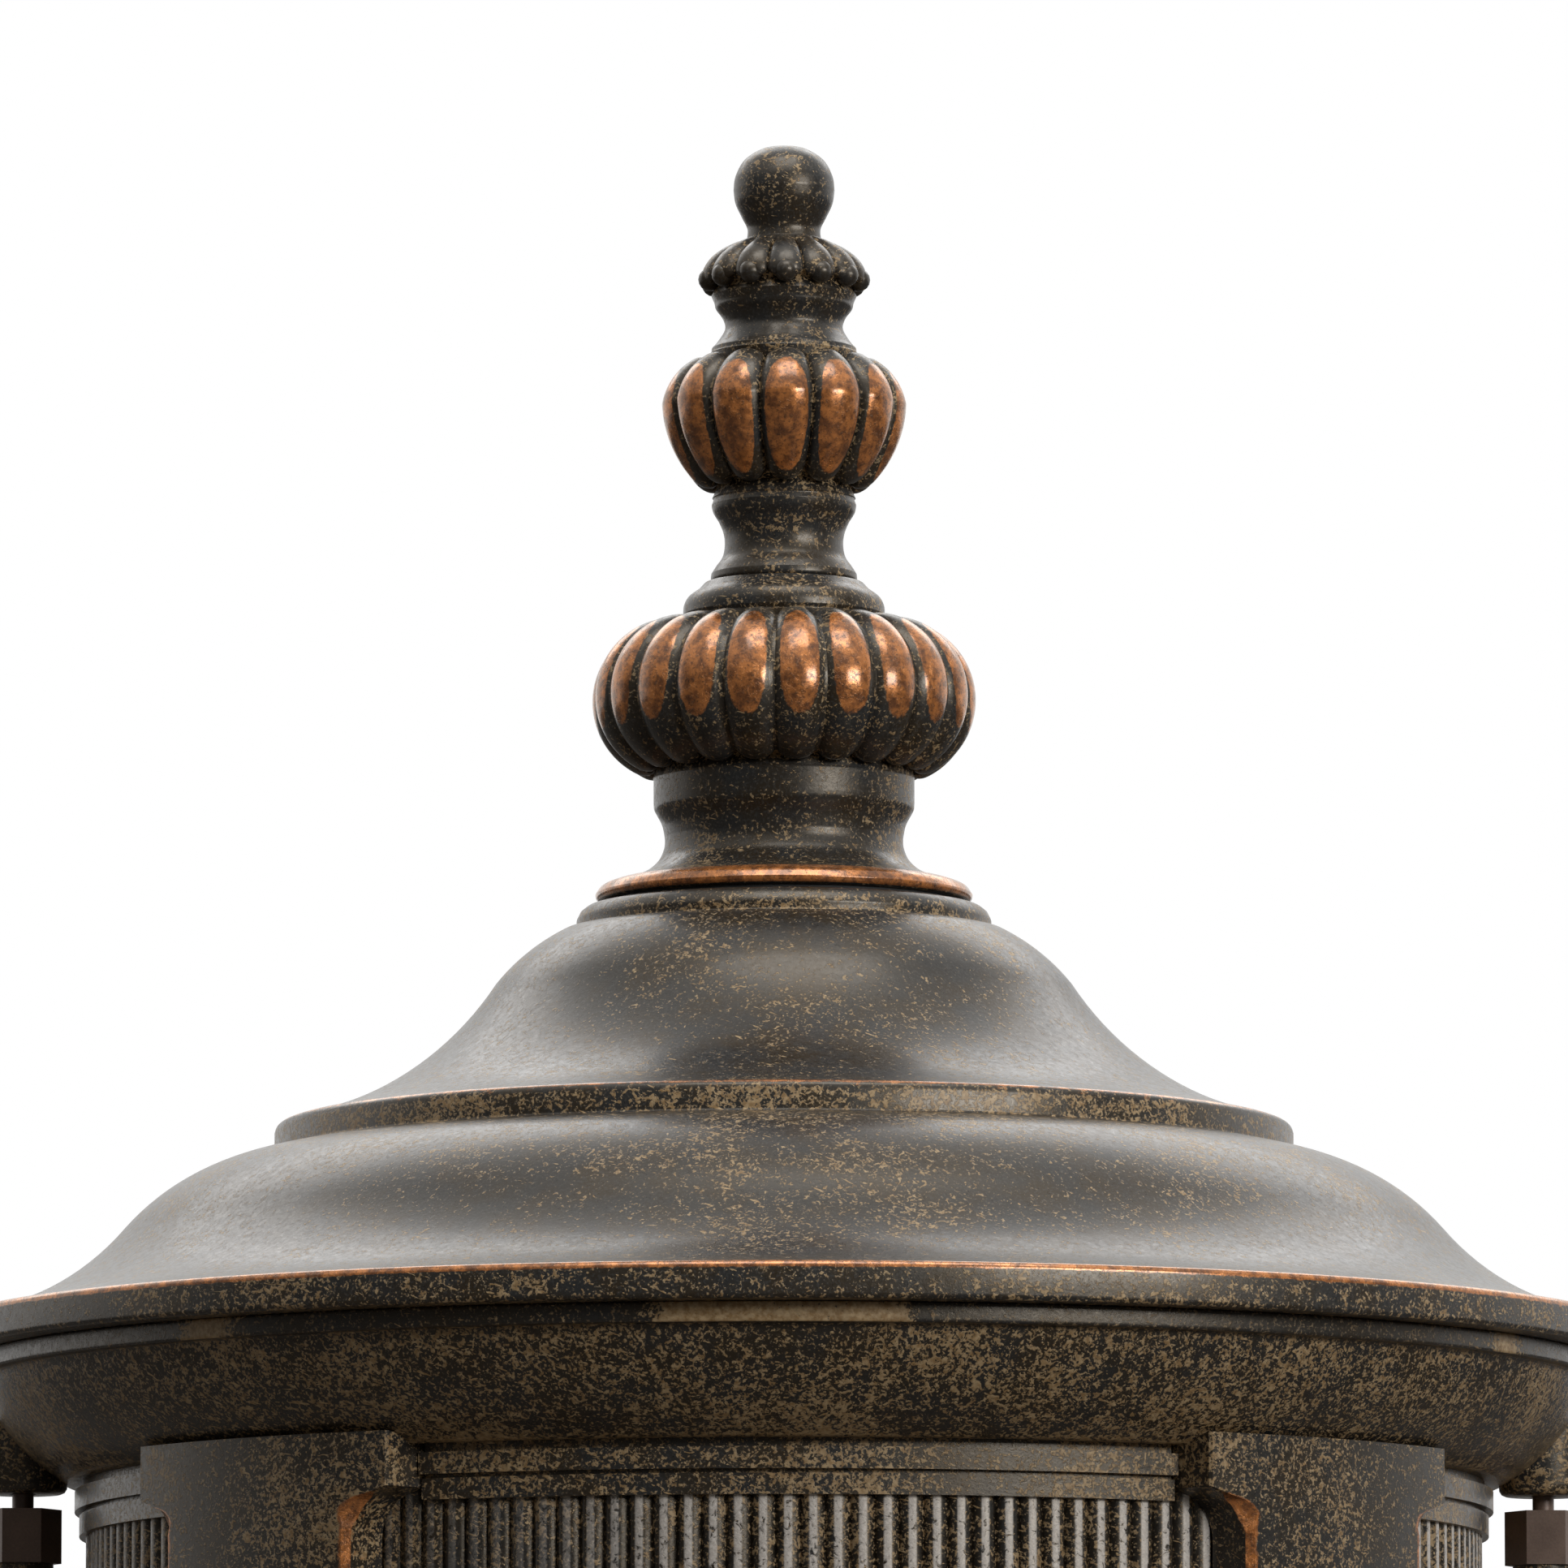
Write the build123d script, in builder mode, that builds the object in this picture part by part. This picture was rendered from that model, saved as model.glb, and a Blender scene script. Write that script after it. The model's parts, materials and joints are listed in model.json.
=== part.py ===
# Outdoor wall light: a round lantern with a stacked finial and a double bell roof,
# held at its sides by two curved arms and carried below by a wall arm.
# Millimetres, +Z up. The origin is the middle of the mounting bar's rear face,
# which lies on the wall, and the lantern stands out along -Y.
import os
from math import cos, radians, sin, sqrt

from build123d import *

# Place of the lantern
lantern_reach = 175.0
seat_height = -60.0

# Clearances
running_clearance = 0.05
loose_clearance = 0.3
rod_hole_clearance = 0.5

# Finial rod and its nuts
rod_radius = 3.2
rod_top_engagement = 12.0
rod_hole_spare = 2.0
rod_tail = 6.0
rod_nut_across_flats = 11.0
rod_nut_height = 4.0

# Upper finial, heights from its own foot
foot_radius = 11.4
foot_edge_height = 0.8
foot_waist_radius = 9.1
foot_waist_height = 5.7
foot_height = 13.0
vase_foot_radius = 11.5
vase_radius = 18.5
vase_lower_height = 14.2
vase_lower_curve = 17.5
vase_shoulder_radius = 12.2
vase_shoulder_height = 7.0
vase_shoulder_curve = 7.0
vase_lobes = 13
vase_groove_radius = 1.5
neck_radius = 9.1
neck_height = 4.8
neck_flare = 1.9
petal_foot_height = 5.6
petal_ring_radius = 12.6
petal_height = 7.0
petal_curve = 6.0
petal_top_radius = 7.7
petal_groove_radius = 0.9
ball_neck_radius = 5.7
ball_neck_height = 2.4
ball_radius = 7.7
ball_middle_height = 6.2
ball_height = 12.8

# Lower finial, heights from its own foot
flange_radius = 28.2
flange_edge_height = 1.2
flange_height = 3.0
flange_slope = 2.6
lower_waist_radius = 17.8
lower_waist_height = 6.4
lower_waist_curve = 6.4
neck_band_radius = 19.5
neck_rise = 4.5
neck_rise_curve = 9.0
neck_band_height = 4.7
cushion_radius = 28.6
cushion_curve = 12.1
cushion_lobes = 22
cushion_groove_radius = 1.5
collar_radius = 15.1
collar_height = 6.16
collar_top_radius = 12.0
washer_radius = 26.5
washer_thickness = 0.6

# Roof, heights from its own foot
rim_radius = 126.2
rim_band_height = 5.3
rim_edge = 0.6
lower_bell_waist_radius = 98.5
lower_bell_sweep_height = 14.2
lower_bell_sweep_curve = 40.0
lower_bell_shoulder_height = 11.5
lower_bell_shoulder_curve = 34.5
mid_band_radius = 75.9
mid_band_height = 4.3
upper_bell_waist_radius = 43.3
upper_bell_sweep_height = 21.3
upper_bell_sweep_curve = 48.0
roof_neck_radius = 33.0
upper_bell_shoulder_height = 8.1
upper_bell_shoulder_curve = 30.0
roof_collar_radius = 31.2
roof_collar_height = 3.8
roof_collar_slope = 2.3
roof_wall = 2.6
roof_seat_width = 5.4
roof_seat_height = 2.0

# Crown ring, heights from its own foot
crown_step_radius = 121.4
crown_step_height = 3.0
crown_step_width = 2.0
crown_bowl_height = 15.0
crown_foot_radius = 107.1
crown_bowl_curve = 26.0
crown_wall = 3.4
crown_ledge_height = 5.6
spigot_radius = 118.1
spigot_height = 3.0
spigot_wall = 2.5

# Lugs, studs and hexagonal couplings at the lantern's sides
lug_spacing = 226.0
lug_radius = 6.6
lug_drop = 1.5
lug_height = 10.5
stud_radius = 2.0
stud_neck_radius = 1.6
stud_gap = 2.3
stud_engagement = 5.0
hex_across_flats = 10.0
hex_height = 8.0
tenon_radius = 3.0
tenon_height = 2.6

# Reeded drums behind the pilasters
frieze_radius = 103.6
frieze_wall = 3.3
frieze_height = 49.0
lower_frieze_height = 20.0
reed_count = 184
reed_depth = 0.9
neck_moulding_radius = 105.3
neck_moulding_height = 3.1
thin_moulding_radius = 104.6
thin_moulding_height = 3.0
plain_band_radius = 104.0
moulding_gap = 1.3
moulding_groove = 0.6

# Pilasters and their screws
pilaster_count = 4
pilaster_face_radius = 111.0
pilaster_head_half_width = 25.4
pilaster_shaft_half_width = 18.6
pilaster_head_height = 6.6
pilaster_side_gap = 0.3
screw_radius = 1.5
screw_head_radius = 2.5
screw_head_height = 1.5
small_screw_radius = 1.0
small_head_radius = 1.9
small_head_height = 1.2
pilaster_screw_engagement = 3.4
pilaster_screw_rise = 10.0
vertical_screw_engagement = 6.0

# Glass cylinder and its gaskets
glass_radius = 98.0
glass_wall = 3.0
glass_lap = 8.0
glass_gasket_height = 2.0
glass_gasket_margin = 1.0
upper_gasket_height = 4.0

# Base bowl, heights from its own foot
cage_height = 175.0
base_foot_radius = 18.0
base_foot_height = 3.0
base_gadroon_start_radius = 25.0
base_gadroon_start_height = 2.0
base_gadroon_radius = 81.0
base_gadroon_curve = 66.0
base_gadroon_height = 34.0
base_lobes = 24
base_groove_radius = 2.2
base_band_radius = 83.0
base_band_height = 4.0
base_cove_radius = 108.5
base_cove_height = 22.0
base_cove_curve = 24.0
base_ring_radius = 111.3
base_ring_height = 15.0
base_ring_edge = 1.2
base_wall = 3.6
base_ledge_depth = 3.0
base_ledge_width = 17.0
base_ledge_thickness = 6.0

# Base plate, nipple and lampholder
base_plate_thickness = 1.6
base_plate_screw_count = 3
base_plate_screw_inset = 4.5
nipple_radius = 5.1
nipple_bore_radius = 3.4
nipple_engagement = 5.0
nipple_nut_across_flats = 17.0
nipple_nut_height = 4.0
holder_radius = 18.0
holder_height = 48.0
holder_floor = 12.0
holder_bore_radius = 14.6
holder_lip = 1.5
screw_shell_wall = 0.6
screw_shell_rise = 6.0
contact_radius = 4.0
contact_height = 3.0

# Lamp
cap_radius = 13.4
cap_height = 26.0
cap_tip_height = 3.0
bulb_neck_radius = 12.6
bulb_neck_height = 8.0
bulb_flare_radius = 24.0
bulb_flare_curve = 40.0
bulb_radius = 30.0
bulb_middle_height = 46.0
bulb_wall = 0.8
stem_radius = 3.5
stem_height = 30.0
stem_top_radius = 6.0

# Crossbar under the roof
crossbar_width = 20.0
crossbar_thickness = 3.0
crossbar_overlap = 5.0

# Arm hub and drop finial
hub_radius = 20.0
hub_height = 24.0
hub_bead_radius = 2.2
hub_cavity_radius = 10.5
hub_cavity_height = 17.0
arm_socket_depth = 4.0
drop_stud_radius = 3.0
drop_collar_radius = 10.0
drop_collar_height = 5.0
drop_neck_radius = 6.0
drop_neck_height = 6.0
drop_ball_radius = 13.5
drop_tip_radius = 3.0
drop_tip_height = 9.0

# Side arms
side_arm_radius = 4.6
side_arm_bow = 128.0
side_arm_bow_low = -12.0
side_arm_bow_high = 95.0
side_arm_shoulder_height = 138.0
side_arm_turn = 88.0
side_arm_upper_bend = 60.0
side_arm_lower_bend = 40.0
knop_radius = 7.6
knop_ring_radius = 6.2
knop_ring_spacing = 8.0

# Wall arm and its scroll
arm_radius = 8.0
arm_bore_radius = 4.2
arm_root_height = -38.0
arm_bend_start = 75.0
arm_bend_end = 97.0
arm_bend_radius = 36.0
arm_boss_radius = 18.0
arm_boss_edge = 3.0
arm_boss_height = 9.0
arm_tail = 7.0
arm_nut_across_flats = 24.0
arm_nut_height = 3.0
scroll_thickness = 5.0
scroll_width = 9.0
scroll_top_height = -60.0
scroll_sweep_radius = 48.0
scroll_flat_length = 26.0
scroll_rise_radius = 36.5
scroll_curl_radius = 11.0
scroll_inner_curl_radius = 6.5

# Wall plate and what lies behind it
plate_width = 118.0
plate_body_height = 150.0
plate_end_radius = 44.0
plate_end_offset = 72.0
plate_corner_radius = 6.0
plate_depth = 11.0
plate_field_depth = 5.0
plate_field_inset = 9.0
plate_edge_radius = 3.0
plate_wall = 3.5
gasket_width = 5.0
gasket_depth = 4.0
stud_spacing = 88.9
mounting_stud_radius = 2.1
mounting_stud_hole_radius = 2.6
mounting_nut_across_flats = 8.0
mounting_nut_height = 3.0
bar_length = 98.0
bar_height = 20.0
bar_thickness = 2.5
box_slot_spacing = 70.0
box_slot_radius = 2.3
box_slot_length = 12.0
cap_nut_radius = 8.0
cap_nut_flange_height = 2.0
cap_nut_dome_radius = 6.8
cap_nut_height = 11.0
cap_nut_engagement = 6.0
ground_screw_offset = 16.0
ground_screw_radius = 2.0
ground_screw_head_radius = 4.0
ground_screw_head_height = 2.2

# Leads in their sleeve and the wire connectors
sleeve_radius = 2.2
sleeve_bend_radius = 8.0
sleeve_end_depth = 7.0
tail_radius = 1.0
tail_depth = 5.5
tail_spread = 15.0
tail_drop = 12.0
tail_bend = 3.0
connector_radius = 4.5
connector_tip_radius = 3.0
connector_length = 16.0

# Heights of the stacked pieces, from the arm hub up
hub_middle = seat_height - hub_height / 2
hub_foot_height = seat_height - hub_height
base_gadroon_foot = base_foot_height + base_gadroon_start_height
base_band_foot = base_gadroon_foot + base_gadroon_height
base_cove_foot = base_band_foot + base_band_height
base_ring_foot = base_cove_foot + base_cove_height
base_rim_height = seat_height + base_ring_foot + base_ring_height
ledge_height = base_rim_height - base_ledge_depth
crown_foot_height = base_rim_height + cage_height
crown_height = crown_bowl_height + crown_step_height
crown_ledge_level = crown_foot_height + crown_ledge_height
roof_foot_height = crown_foot_height + crown_height
frieze_foot_height = crown_foot_height - frieze_height
frieze_bore_radius = frieze_radius - frieze_wall
pilaster_back_radius = frieze_radius + pilaster_side_gap
glass_foot_height = ledge_height + glass_gasket_height
glass_top_height = frieze_foot_height + glass_lap
vertical_screw_circle = (frieze_bore_radius + frieze_radius - reed_depth) / 2

# Heights inside the roof and the finials
lower_bell_waist_height = rim_band_height + lower_bell_sweep_height
mid_band_foot = lower_bell_waist_height + lower_bell_shoulder_height
mid_band_top = mid_band_foot + mid_band_height
upper_bell_waist_height = mid_band_top + upper_bell_sweep_height
roof_neck_height = upper_bell_waist_height + upper_bell_shoulder_height
roof_height = roof_neck_height + roof_collar_height
washer_foot_height = roof_foot_height + roof_height
lower_finial_foot_height = washer_foot_height + washer_thickness
waist_height = flange_height + lower_waist_height
neck_band_foot = waist_height + neck_rise
cushion_foot = neck_band_foot + neck_band_height
cushion_middle_radius = cushion_radius - cushion_curve
cushion_half_height = sqrt(cushion_curve**2 - (neck_band_radius - cushion_middle_radius) ** 2)
cushion_top = cushion_foot + 2 * cushion_half_height
lower_finial_height = cushion_top + collar_height
upper_finial_foot_height = lower_finial_foot_height + lower_finial_height
rod_top_height = upper_finial_foot_height + rod_top_engagement
rod_hole_radius = rod_radius + rod_hole_clearance

# Heights of the lampholder and the lamp
base_plate_top = ledge_height + base_plate_thickness
holder_foot_height = base_plate_top + nipple_nut_height
holder_floor_height = holder_foot_height + holder_floor
cap_foot_height = holder_floor_height + contact_height + loose_clearance
bulb_foot_height = cap_foot_height + cap_height

# Lugs and side arms
lug_offset = lug_spacing / 2
lug_foot_height = crown_foot_height - lug_drop
hex_top_height = lug_foot_height - stud_gap
side_arm_top_height = hex_top_height - hex_height

# Wall plate depths
plate_front = plate_depth + plate_field_depth
plate_cavity_depth = plate_front - plate_wall


# Planes and axes of the lantern, which stands in front of the wall
def lantern_section(height):
    return Plane(origin=(0, -lantern_reach, height), x_dir=(1, 0, 0), z_dir=(0, -1, 0))


def lantern_level(height):
    return Plane(origin=(0, -lantern_reach, height))


def wall_level(depth):
    return Plane(origin=(0, -depth, 0), x_dir=(1, 0, 0), z_dir=(0, -1, 0))


def radial_plane(angle, height):
    outward = (cos(radians(angle)), sin(radians(angle)), 0)
    sideways = (-sin(radians(angle)), cos(radians(angle)), 0)
    return Plane(origin=(0, -lantern_reach, height), x_dir=sideways, z_dir=outward)


lantern_axis = Axis((0, -lantern_reach, 0), (0, 0, 1))
arm_plane = Plane(origin=(0, 0, 0), x_dir=(0, -1, 0), z_dir=(-1, 0, 0))
side_plane = Plane(origin=(0, -lantern_reach, 0), x_dir=(1, 0, 0), z_dir=(0, -1, 0))


def write(piece, name):
    piece.part.label = name
    export_step(piece.part, f"parts/{name}.step")


def groove_along(path, radius):
    # Round bar along a path in the section plane, moved onto the world's Z axis
    with BuildPart() as groove:
        with BuildSketch(Plane(path.line @ 0, z_dir=path.line % 0)):
            Circle(radius)
        sweep(path=path.line)
    return groove.part.moved(Location((0, lantern_reach, 0)))


def cut_grooves(groove, count):
    # One cut for each groove, the first half a pitch from the X axis
    for index in range(count):
        with Locations(lantern_level(0).rotated((0, 0, 360 / count * (index + 0.5)))):
            add(groove, mode=Mode.SUBTRACT)


def upright_screw(height, length, circle, count, start_angle):
    # Screws with their heads up, set on a circle round the lantern's axis
    with Locations(lantern_level(height)):
        with PolarLocations(circle, count, start_angle=start_angle):
            Cylinder(small_screw_radius, length, align=(Align.CENTER, Align.CENTER, Align.MAX))
            Cylinder(
                small_head_radius,
                small_head_height,
                align=(Align.CENTER, Align.CENTER, Align.MIN),
            )


def upright_holes(height, length, circle, count, start_angle):
    with Locations(lantern_level(height)):
        with PolarLocations(circle, count, start_angle=start_angle):
            Cylinder(
                small_screw_radius + running_clearance,
                length,
                align=(Align.CENTER, Align.CENTER, Align.MAX),
                mode=Mode.SUBTRACT,
            )


def hex_nut(plane, across_flats, height, bore):
    with BuildSketch(plane) as outline:
        RegularPolygon(across_flats / 2, 6, major_radius=False)
        Circle(bore + running_clearance, mode=Mode.SUBTRACT)
    extrude(outline.sketch, amount=height)


os.makedirs("parts", exist_ok=True)

# Upper finial: ball, petal ring, gadrooned vase and turned foot
vase_middle = foot_height + vase_lower_height
vase_top = vase_middle + vase_shoulder_height
neck_middle = vase_top + neck_height
petal_foot = neck_middle + petal_foot_height
petal_top = petal_foot + petal_height
ball_foot = petal_top + ball_neck_height
ball_top = ball_foot + ball_height

with BuildLine(lantern_section(upper_finial_foot_height)) as vase_path:
    belly = RadiusArc((vase_foot_radius, foot_height), (vase_radius, vase_middle), -vase_lower_curve)
    RadiusArc(belly @ 1, (vase_shoulder_radius, vase_top), -vase_shoulder_curve)

with BuildLine(lantern_section(upper_finial_foot_height)) as petal_path:
    RadiusArc((petal_ring_radius, petal_foot), (petal_top_radius, petal_top), -petal_curve)

vase_groove = groove_along(vase_path, vase_groove_radius)
petal_groove = groove_along(petal_path, petal_groove_radius)

with BuildPart() as upper_finial:
    with BuildSketch(lantern_section(upper_finial_foot_height)):
        with BuildLine():
            foot = Polyline((0, 0), (foot_radius, 0), (foot_radius, foot_edge_height))
            waist = Spline(
                foot @ 1,
                (foot_waist_radius, foot_waist_height),
                (vase_foot_radius - 0.6, foot_height - 2),
            )
            sill = Line(waist @ 1, (vase_foot_radius, foot_height))
            belly = RadiusArc(sill @ 1, (vase_radius, vase_middle), -vase_lower_curve)
            shoulder = RadiusArc(belly @ 1, (vase_shoulder_radius, vase_top), -vase_shoulder_curve)
            neck = Spline(
                shoulder @ 1,
                (neck_radius + neck_flare, vase_top + 1),
                (neck_radius, neck_middle),
                (neck_radius + neck_flare, neck_middle + 3),
            )
            flare = Line(neck @ 1, (petal_ring_radius, petal_foot))
            petals = RadiusArc(flare @ 1, (petal_top_radius, petal_top), -petal_curve)
            throat = Line(petals @ 1, (ball_neck_radius, ball_foot))
            ball = Spline(
                throat @ 1,
                (ball_radius, ball_foot + ball_middle_height),
                (0, ball_top),
                tangents=[(1, 1), (-1, 0)],
            )
            Line(ball @ 1, (0, 0))
        make_face()
    revolve(axis=lantern_axis)
    with BuildSketch(lantern_level(upper_finial_foot_height)):
        Circle(rod_radius + running_clearance)
    extrude(amount=rod_top_engagement + rod_hole_spare, mode=Mode.SUBTRACT)
    cut_grooves(vase_groove, vase_lobes)
    cut_grooves(petal_groove, vase_lobes)
write(upper_finial, "upper_finial")

# Lower finial: gadrooned cushion on a turned neck with a wide flange
with BuildLine(lantern_section(lower_finial_foot_height)) as cushion_path:
    RadiusArc((neck_band_radius, cushion_foot), (neck_band_radius, cushion_top), -cushion_curve)

cushion_groove = groove_along(cushion_path, cushion_groove_radius)

with BuildPart() as lower_finial:
    with BuildSketch(lantern_section(lower_finial_foot_height)):
        with BuildLine():
            flange = Polyline(
                (0, 0),
                (flange_radius, 0),
                (flange_radius, flange_edge_height),
                (flange_radius - flange_slope, flange_height),
            )
            sweep_up = RadiusArc(flange @ 1, (lower_waist_radius, waist_height), lower_waist_curve)
            rise = RadiusArc(sweep_up @ 1, (neck_band_radius, neck_band_foot), neck_rise_curve)
            band = Line(rise @ 1, (neck_band_radius, cushion_foot))
            cushion = RadiusArc(band @ 1, (neck_band_radius, cushion_top), -cushion_curve)
            Polyline(
                cushion @ 1,
                (collar_radius, cushion_top + 0.8),
                (collar_radius, cushion_top + collar_height / 2),
                (collar_top_radius, lower_finial_height),
                (0, lower_finial_height),
                (0, 0),
            )
        make_face()
    revolve(axis=lantern_axis)
    with BuildSketch(lantern_level(lower_finial_foot_height)):
        Circle(rod_hole_radius)
    extrude(amount=lower_finial_height, mode=Mode.SUBTRACT)
    cut_grooves(cushion_groove, cushion_lobes)
write(lower_finial, "lower_finial")

# Washer between the lower finial and the roof
with BuildPart() as roof_washer:
    with BuildSketch(lantern_level(washer_foot_height)):
        Circle(washer_radius)
        Circle(rod_hole_radius, mode=Mode.SUBTRACT)
    extrude(amount=washer_thickness)
write(roof_washer, "roof_washer")

# Roof: two bells with a rim band, a mid band and a collar, hollow below
with BuildPart() as roof:
    with BuildSketch(lantern_section(roof_foot_height)) as roof_outline:
        with BuildLine():
            rim = Polyline(
                (0, 0),
                (rim_radius - rim_edge, 0),
                (rim_radius, rim_edge),
                (rim_radius, rim_band_height - rim_edge),
                (rim_radius - rim_edge, rim_band_height),
            )
            lower_sweep = RadiusArc(
                rim @ 1,
                (lower_bell_waist_radius, lower_bell_waist_height),
                lower_bell_sweep_curve,
            )
            lower_shoulder = RadiusArc(
                lower_sweep @ 1,
                (mid_band_radius, mid_band_foot),
                -lower_bell_shoulder_curve,
            )
            mid_band = Polyline(
                lower_shoulder @ 1,
                (mid_band_radius, mid_band_top - rim_edge),
                (mid_band_radius - rim_edge, mid_band_top),
            )
            upper_sweep = RadiusArc(
                mid_band @ 1,
                (upper_bell_waist_radius, upper_bell_waist_height),
                upper_bell_sweep_curve,
            )
            upper_shoulder = RadiusArc(
                upper_sweep @ 1,
                (roof_neck_radius, roof_neck_height),
                -upper_bell_shoulder_curve,
            )
            Polyline(
                upper_shoulder @ 1,
                (roof_collar_radius, roof_neck_height),
                (roof_collar_radius, roof_neck_height + roof_collar_height / 3),
                (roof_collar_radius - roof_collar_slope, roof_height),
                (0, roof_height),
                (0, 0),
            )
        make_face()
        with Locations((-roof_wall, -roof_wall)):
            add(roof_outline.sketch_local, mode=Mode.SUBTRACT)
        with Locations((spigot_radius + rod_hole_clearance, 0)):
            Rectangle(roof_seat_width, roof_seat_height, align=(Align.MIN, Align.MIN))
    revolve(axis=lantern_axis)
    with BuildSketch(lantern_level(roof_foot_height)):
        Circle(rod_hole_radius)
    extrude(amount=roof_height, mode=Mode.SUBTRACT)
write(roof, "roof")

# Crown ring: stepped bowl under the roof with a ledge inside and a lug on each side
with BuildPart() as crown_ring:
    with BuildSketch(lantern_section(crown_foot_height)) as crown_outline:
        with BuildLine():
            foot = Line((0, 0), (crown_foot_radius, 0))
            bowl = RadiusArc(
                foot @ 1,
                (crown_step_radius - crown_step_width, crown_bowl_height),
                -crown_bowl_curve,
            )
            Polyline(
                bowl @ 1,
                (crown_step_radius, crown_bowl_height),
                (crown_step_radius, crown_height),
                (0, crown_height),
                (0, 0),
            )
        make_face()
        with Locations((-crown_wall, crown_wall)):
            add(crown_outline.sketch_local, mode=Mode.SUBTRACT)
        with Locations((0, 0)):
            Rectangle(frieze_bore_radius, crown_height, align=(Align.MIN, Align.MIN), mode=Mode.SUBTRACT)
        with Locations((frieze_bore_radius, 0)):
            Rectangle(
                crown_foot_radius - frieze_bore_radius,
                crown_ledge_height,
                align=(Align.MIN, Align.MIN),
            )
        with Locations((spigot_radius, crown_height)):
            Rectangle(spigot_wall, spigot_height, align=(Align.MAX, Align.MIN))
    revolve(axis=lantern_axis)
    with Locations(lantern_level(lug_foot_height)):
        with PolarLocations(lug_offset, 2):
            Cylinder(lug_radius, lug_height, align=(Align.CENTER, Align.CENTER, Align.MIN))
    with Locations(lantern_level(lug_foot_height)):
        with PolarLocations(lug_offset, 2):
            Cylinder(
                stud_radius + running_clearance,
                stud_engagement,
                align=(Align.CENTER, Align.CENTER, Align.MIN),
                mode=Mode.SUBTRACT,
            )
    upright_holes(crown_ledge_level, crown_ledge_height, vertical_screw_circle, 4, 0)
write(crown_ring, "crown_ring")

# Crossbar on the crown's ledge, which carries the finial rod
crossbar_top_height = crown_ledge_level + crossbar_thickness
with BuildPart() as crossbar:
    with BuildSketch(lantern_level(crown_ledge_level)):
        SlotOverall(2 * (frieze_bore_radius + crossbar_overlap), crossbar_width)
        Circle(rod_radius + running_clearance, mode=Mode.SUBTRACT)
    extrude(amount=crossbar_thickness)
    upright_holes(crossbar_top_height, crossbar_thickness, vertical_screw_circle, 2, 0)
write(crossbar, "crossbar")

crossbar_screw_length = crossbar_thickness + crown_ledge_height + vertical_screw_engagement
with BuildPart() as crossbar_screws:
    upright_screw(crossbar_top_height, crossbar_screw_length, vertical_screw_circle, 2, 0)
write(crossbar_screws, "crossbar_screws")

with BuildPart() as crown_screws:
    upright_screw(
        crown_ledge_level,
        crown_ledge_height + vertical_screw_engagement,
        vertical_screw_circle,
        2,
        90,
    )
write(crown_screws, "crown_screws")

# Finial rod and the two nuts that clamp it to the crossbar
with BuildPart() as finial_rod:
    with BuildSketch(lantern_level(crown_ledge_level - rod_tail)):
        Circle(rod_radius)
    extrude(amount=rod_top_height - crown_ledge_level + rod_tail)
    chamfer(finial_rod.edges().filter_by(GeomType.CIRCLE), length=rod_radius / 5)
write(finial_rod, "finial_rod")

with BuildPart() as rod_nuts:
    for nut_foot in (crown_ledge_level - rod_nut_height, crossbar_top_height):
        hex_nut(lantern_level(nut_foot), rod_nut_across_flats, rod_nut_height, rod_radius)
write(rod_nuts, "rod_nuts")


# Reeded drum with mouldings that stop at the pilasters
def window_band(height, thickness, radius):
    with BuildSketch(lantern_level(height)) as outline:
        Circle(radius)
        Circle(frieze_radius - frieze_wall / 2, mode=Mode.SUBTRACT)
        with PolarLocations(pilaster_face_radius, pilaster_count, start_angle=45):
            gap_width = 2 * (pilaster_head_half_width + pilaster_side_gap)
            Rectangle(gap_width, gap_width, mode=Mode.SUBTRACT)
    extrude(outline.sketch, amount=thickness)


def reeded_drum(foot_height, height):
    reed_angle = 360 / reed_count
    groove_radius = frieze_radius - reed_depth
    with BuildSketch(lantern_level(foot_height)) as outline:
        with BuildLine():
            for reed in range(reed_count):
                start = radians(reed * reed_angle)
                crest = radians((reed + 0.5) * reed_angle)
                end = radians((reed + 1) * reed_angle)
                ThreePointArc(
                    (groove_radius * cos(start), groove_radius * sin(start)),
                    (frieze_radius * cos(crest), frieze_radius * sin(crest)),
                    (groove_radius * cos(end), groove_radius * sin(end)),
                )
        make_face()
        Circle(frieze_bore_radius, mode=Mode.SUBTRACT)
    extrude(outline.sketch, amount=height)


def pilaster_screw_holes(height):
    for index in range(pilaster_count):
        with Locations(radial_plane(45 + 360 / pilaster_count * index, height)):
            Cylinder(
                screw_radius + running_clearance,
                pilaster_back_radius + pilaster_screw_engagement,
                align=(Align.CENTER, Align.CENTER, Align.MIN),
                mode=Mode.SUBTRACT,
            )


upper_screw_height = glass_top_height + pilaster_screw_rise
lower_screw_height = base_rim_height + pilaster_screw_rise
with BuildPart() as frieze_drum:
    reeded_drum(frieze_foot_height, frieze_height)
    neck_foot = crown_foot_height - moulding_gap - neck_moulding_height
    thin_foot = neck_foot - moulding_groove - thin_moulding_height
    window_band(thin_foot, crown_foot_height - thin_foot, plain_band_radius)
    window_band(neck_foot, neck_moulding_height, neck_moulding_radius)
    window_band(thin_foot, thin_moulding_height, thin_moulding_radius)
    window_band(frieze_foot_height, thin_moulding_height, thin_moulding_radius)
    pilaster_screw_holes(upper_screw_height)
    upright_holes(crown_foot_height, vertical_screw_engagement, vertical_screw_circle, 4, 0)
write(frieze_drum, "frieze_drum")

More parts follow.
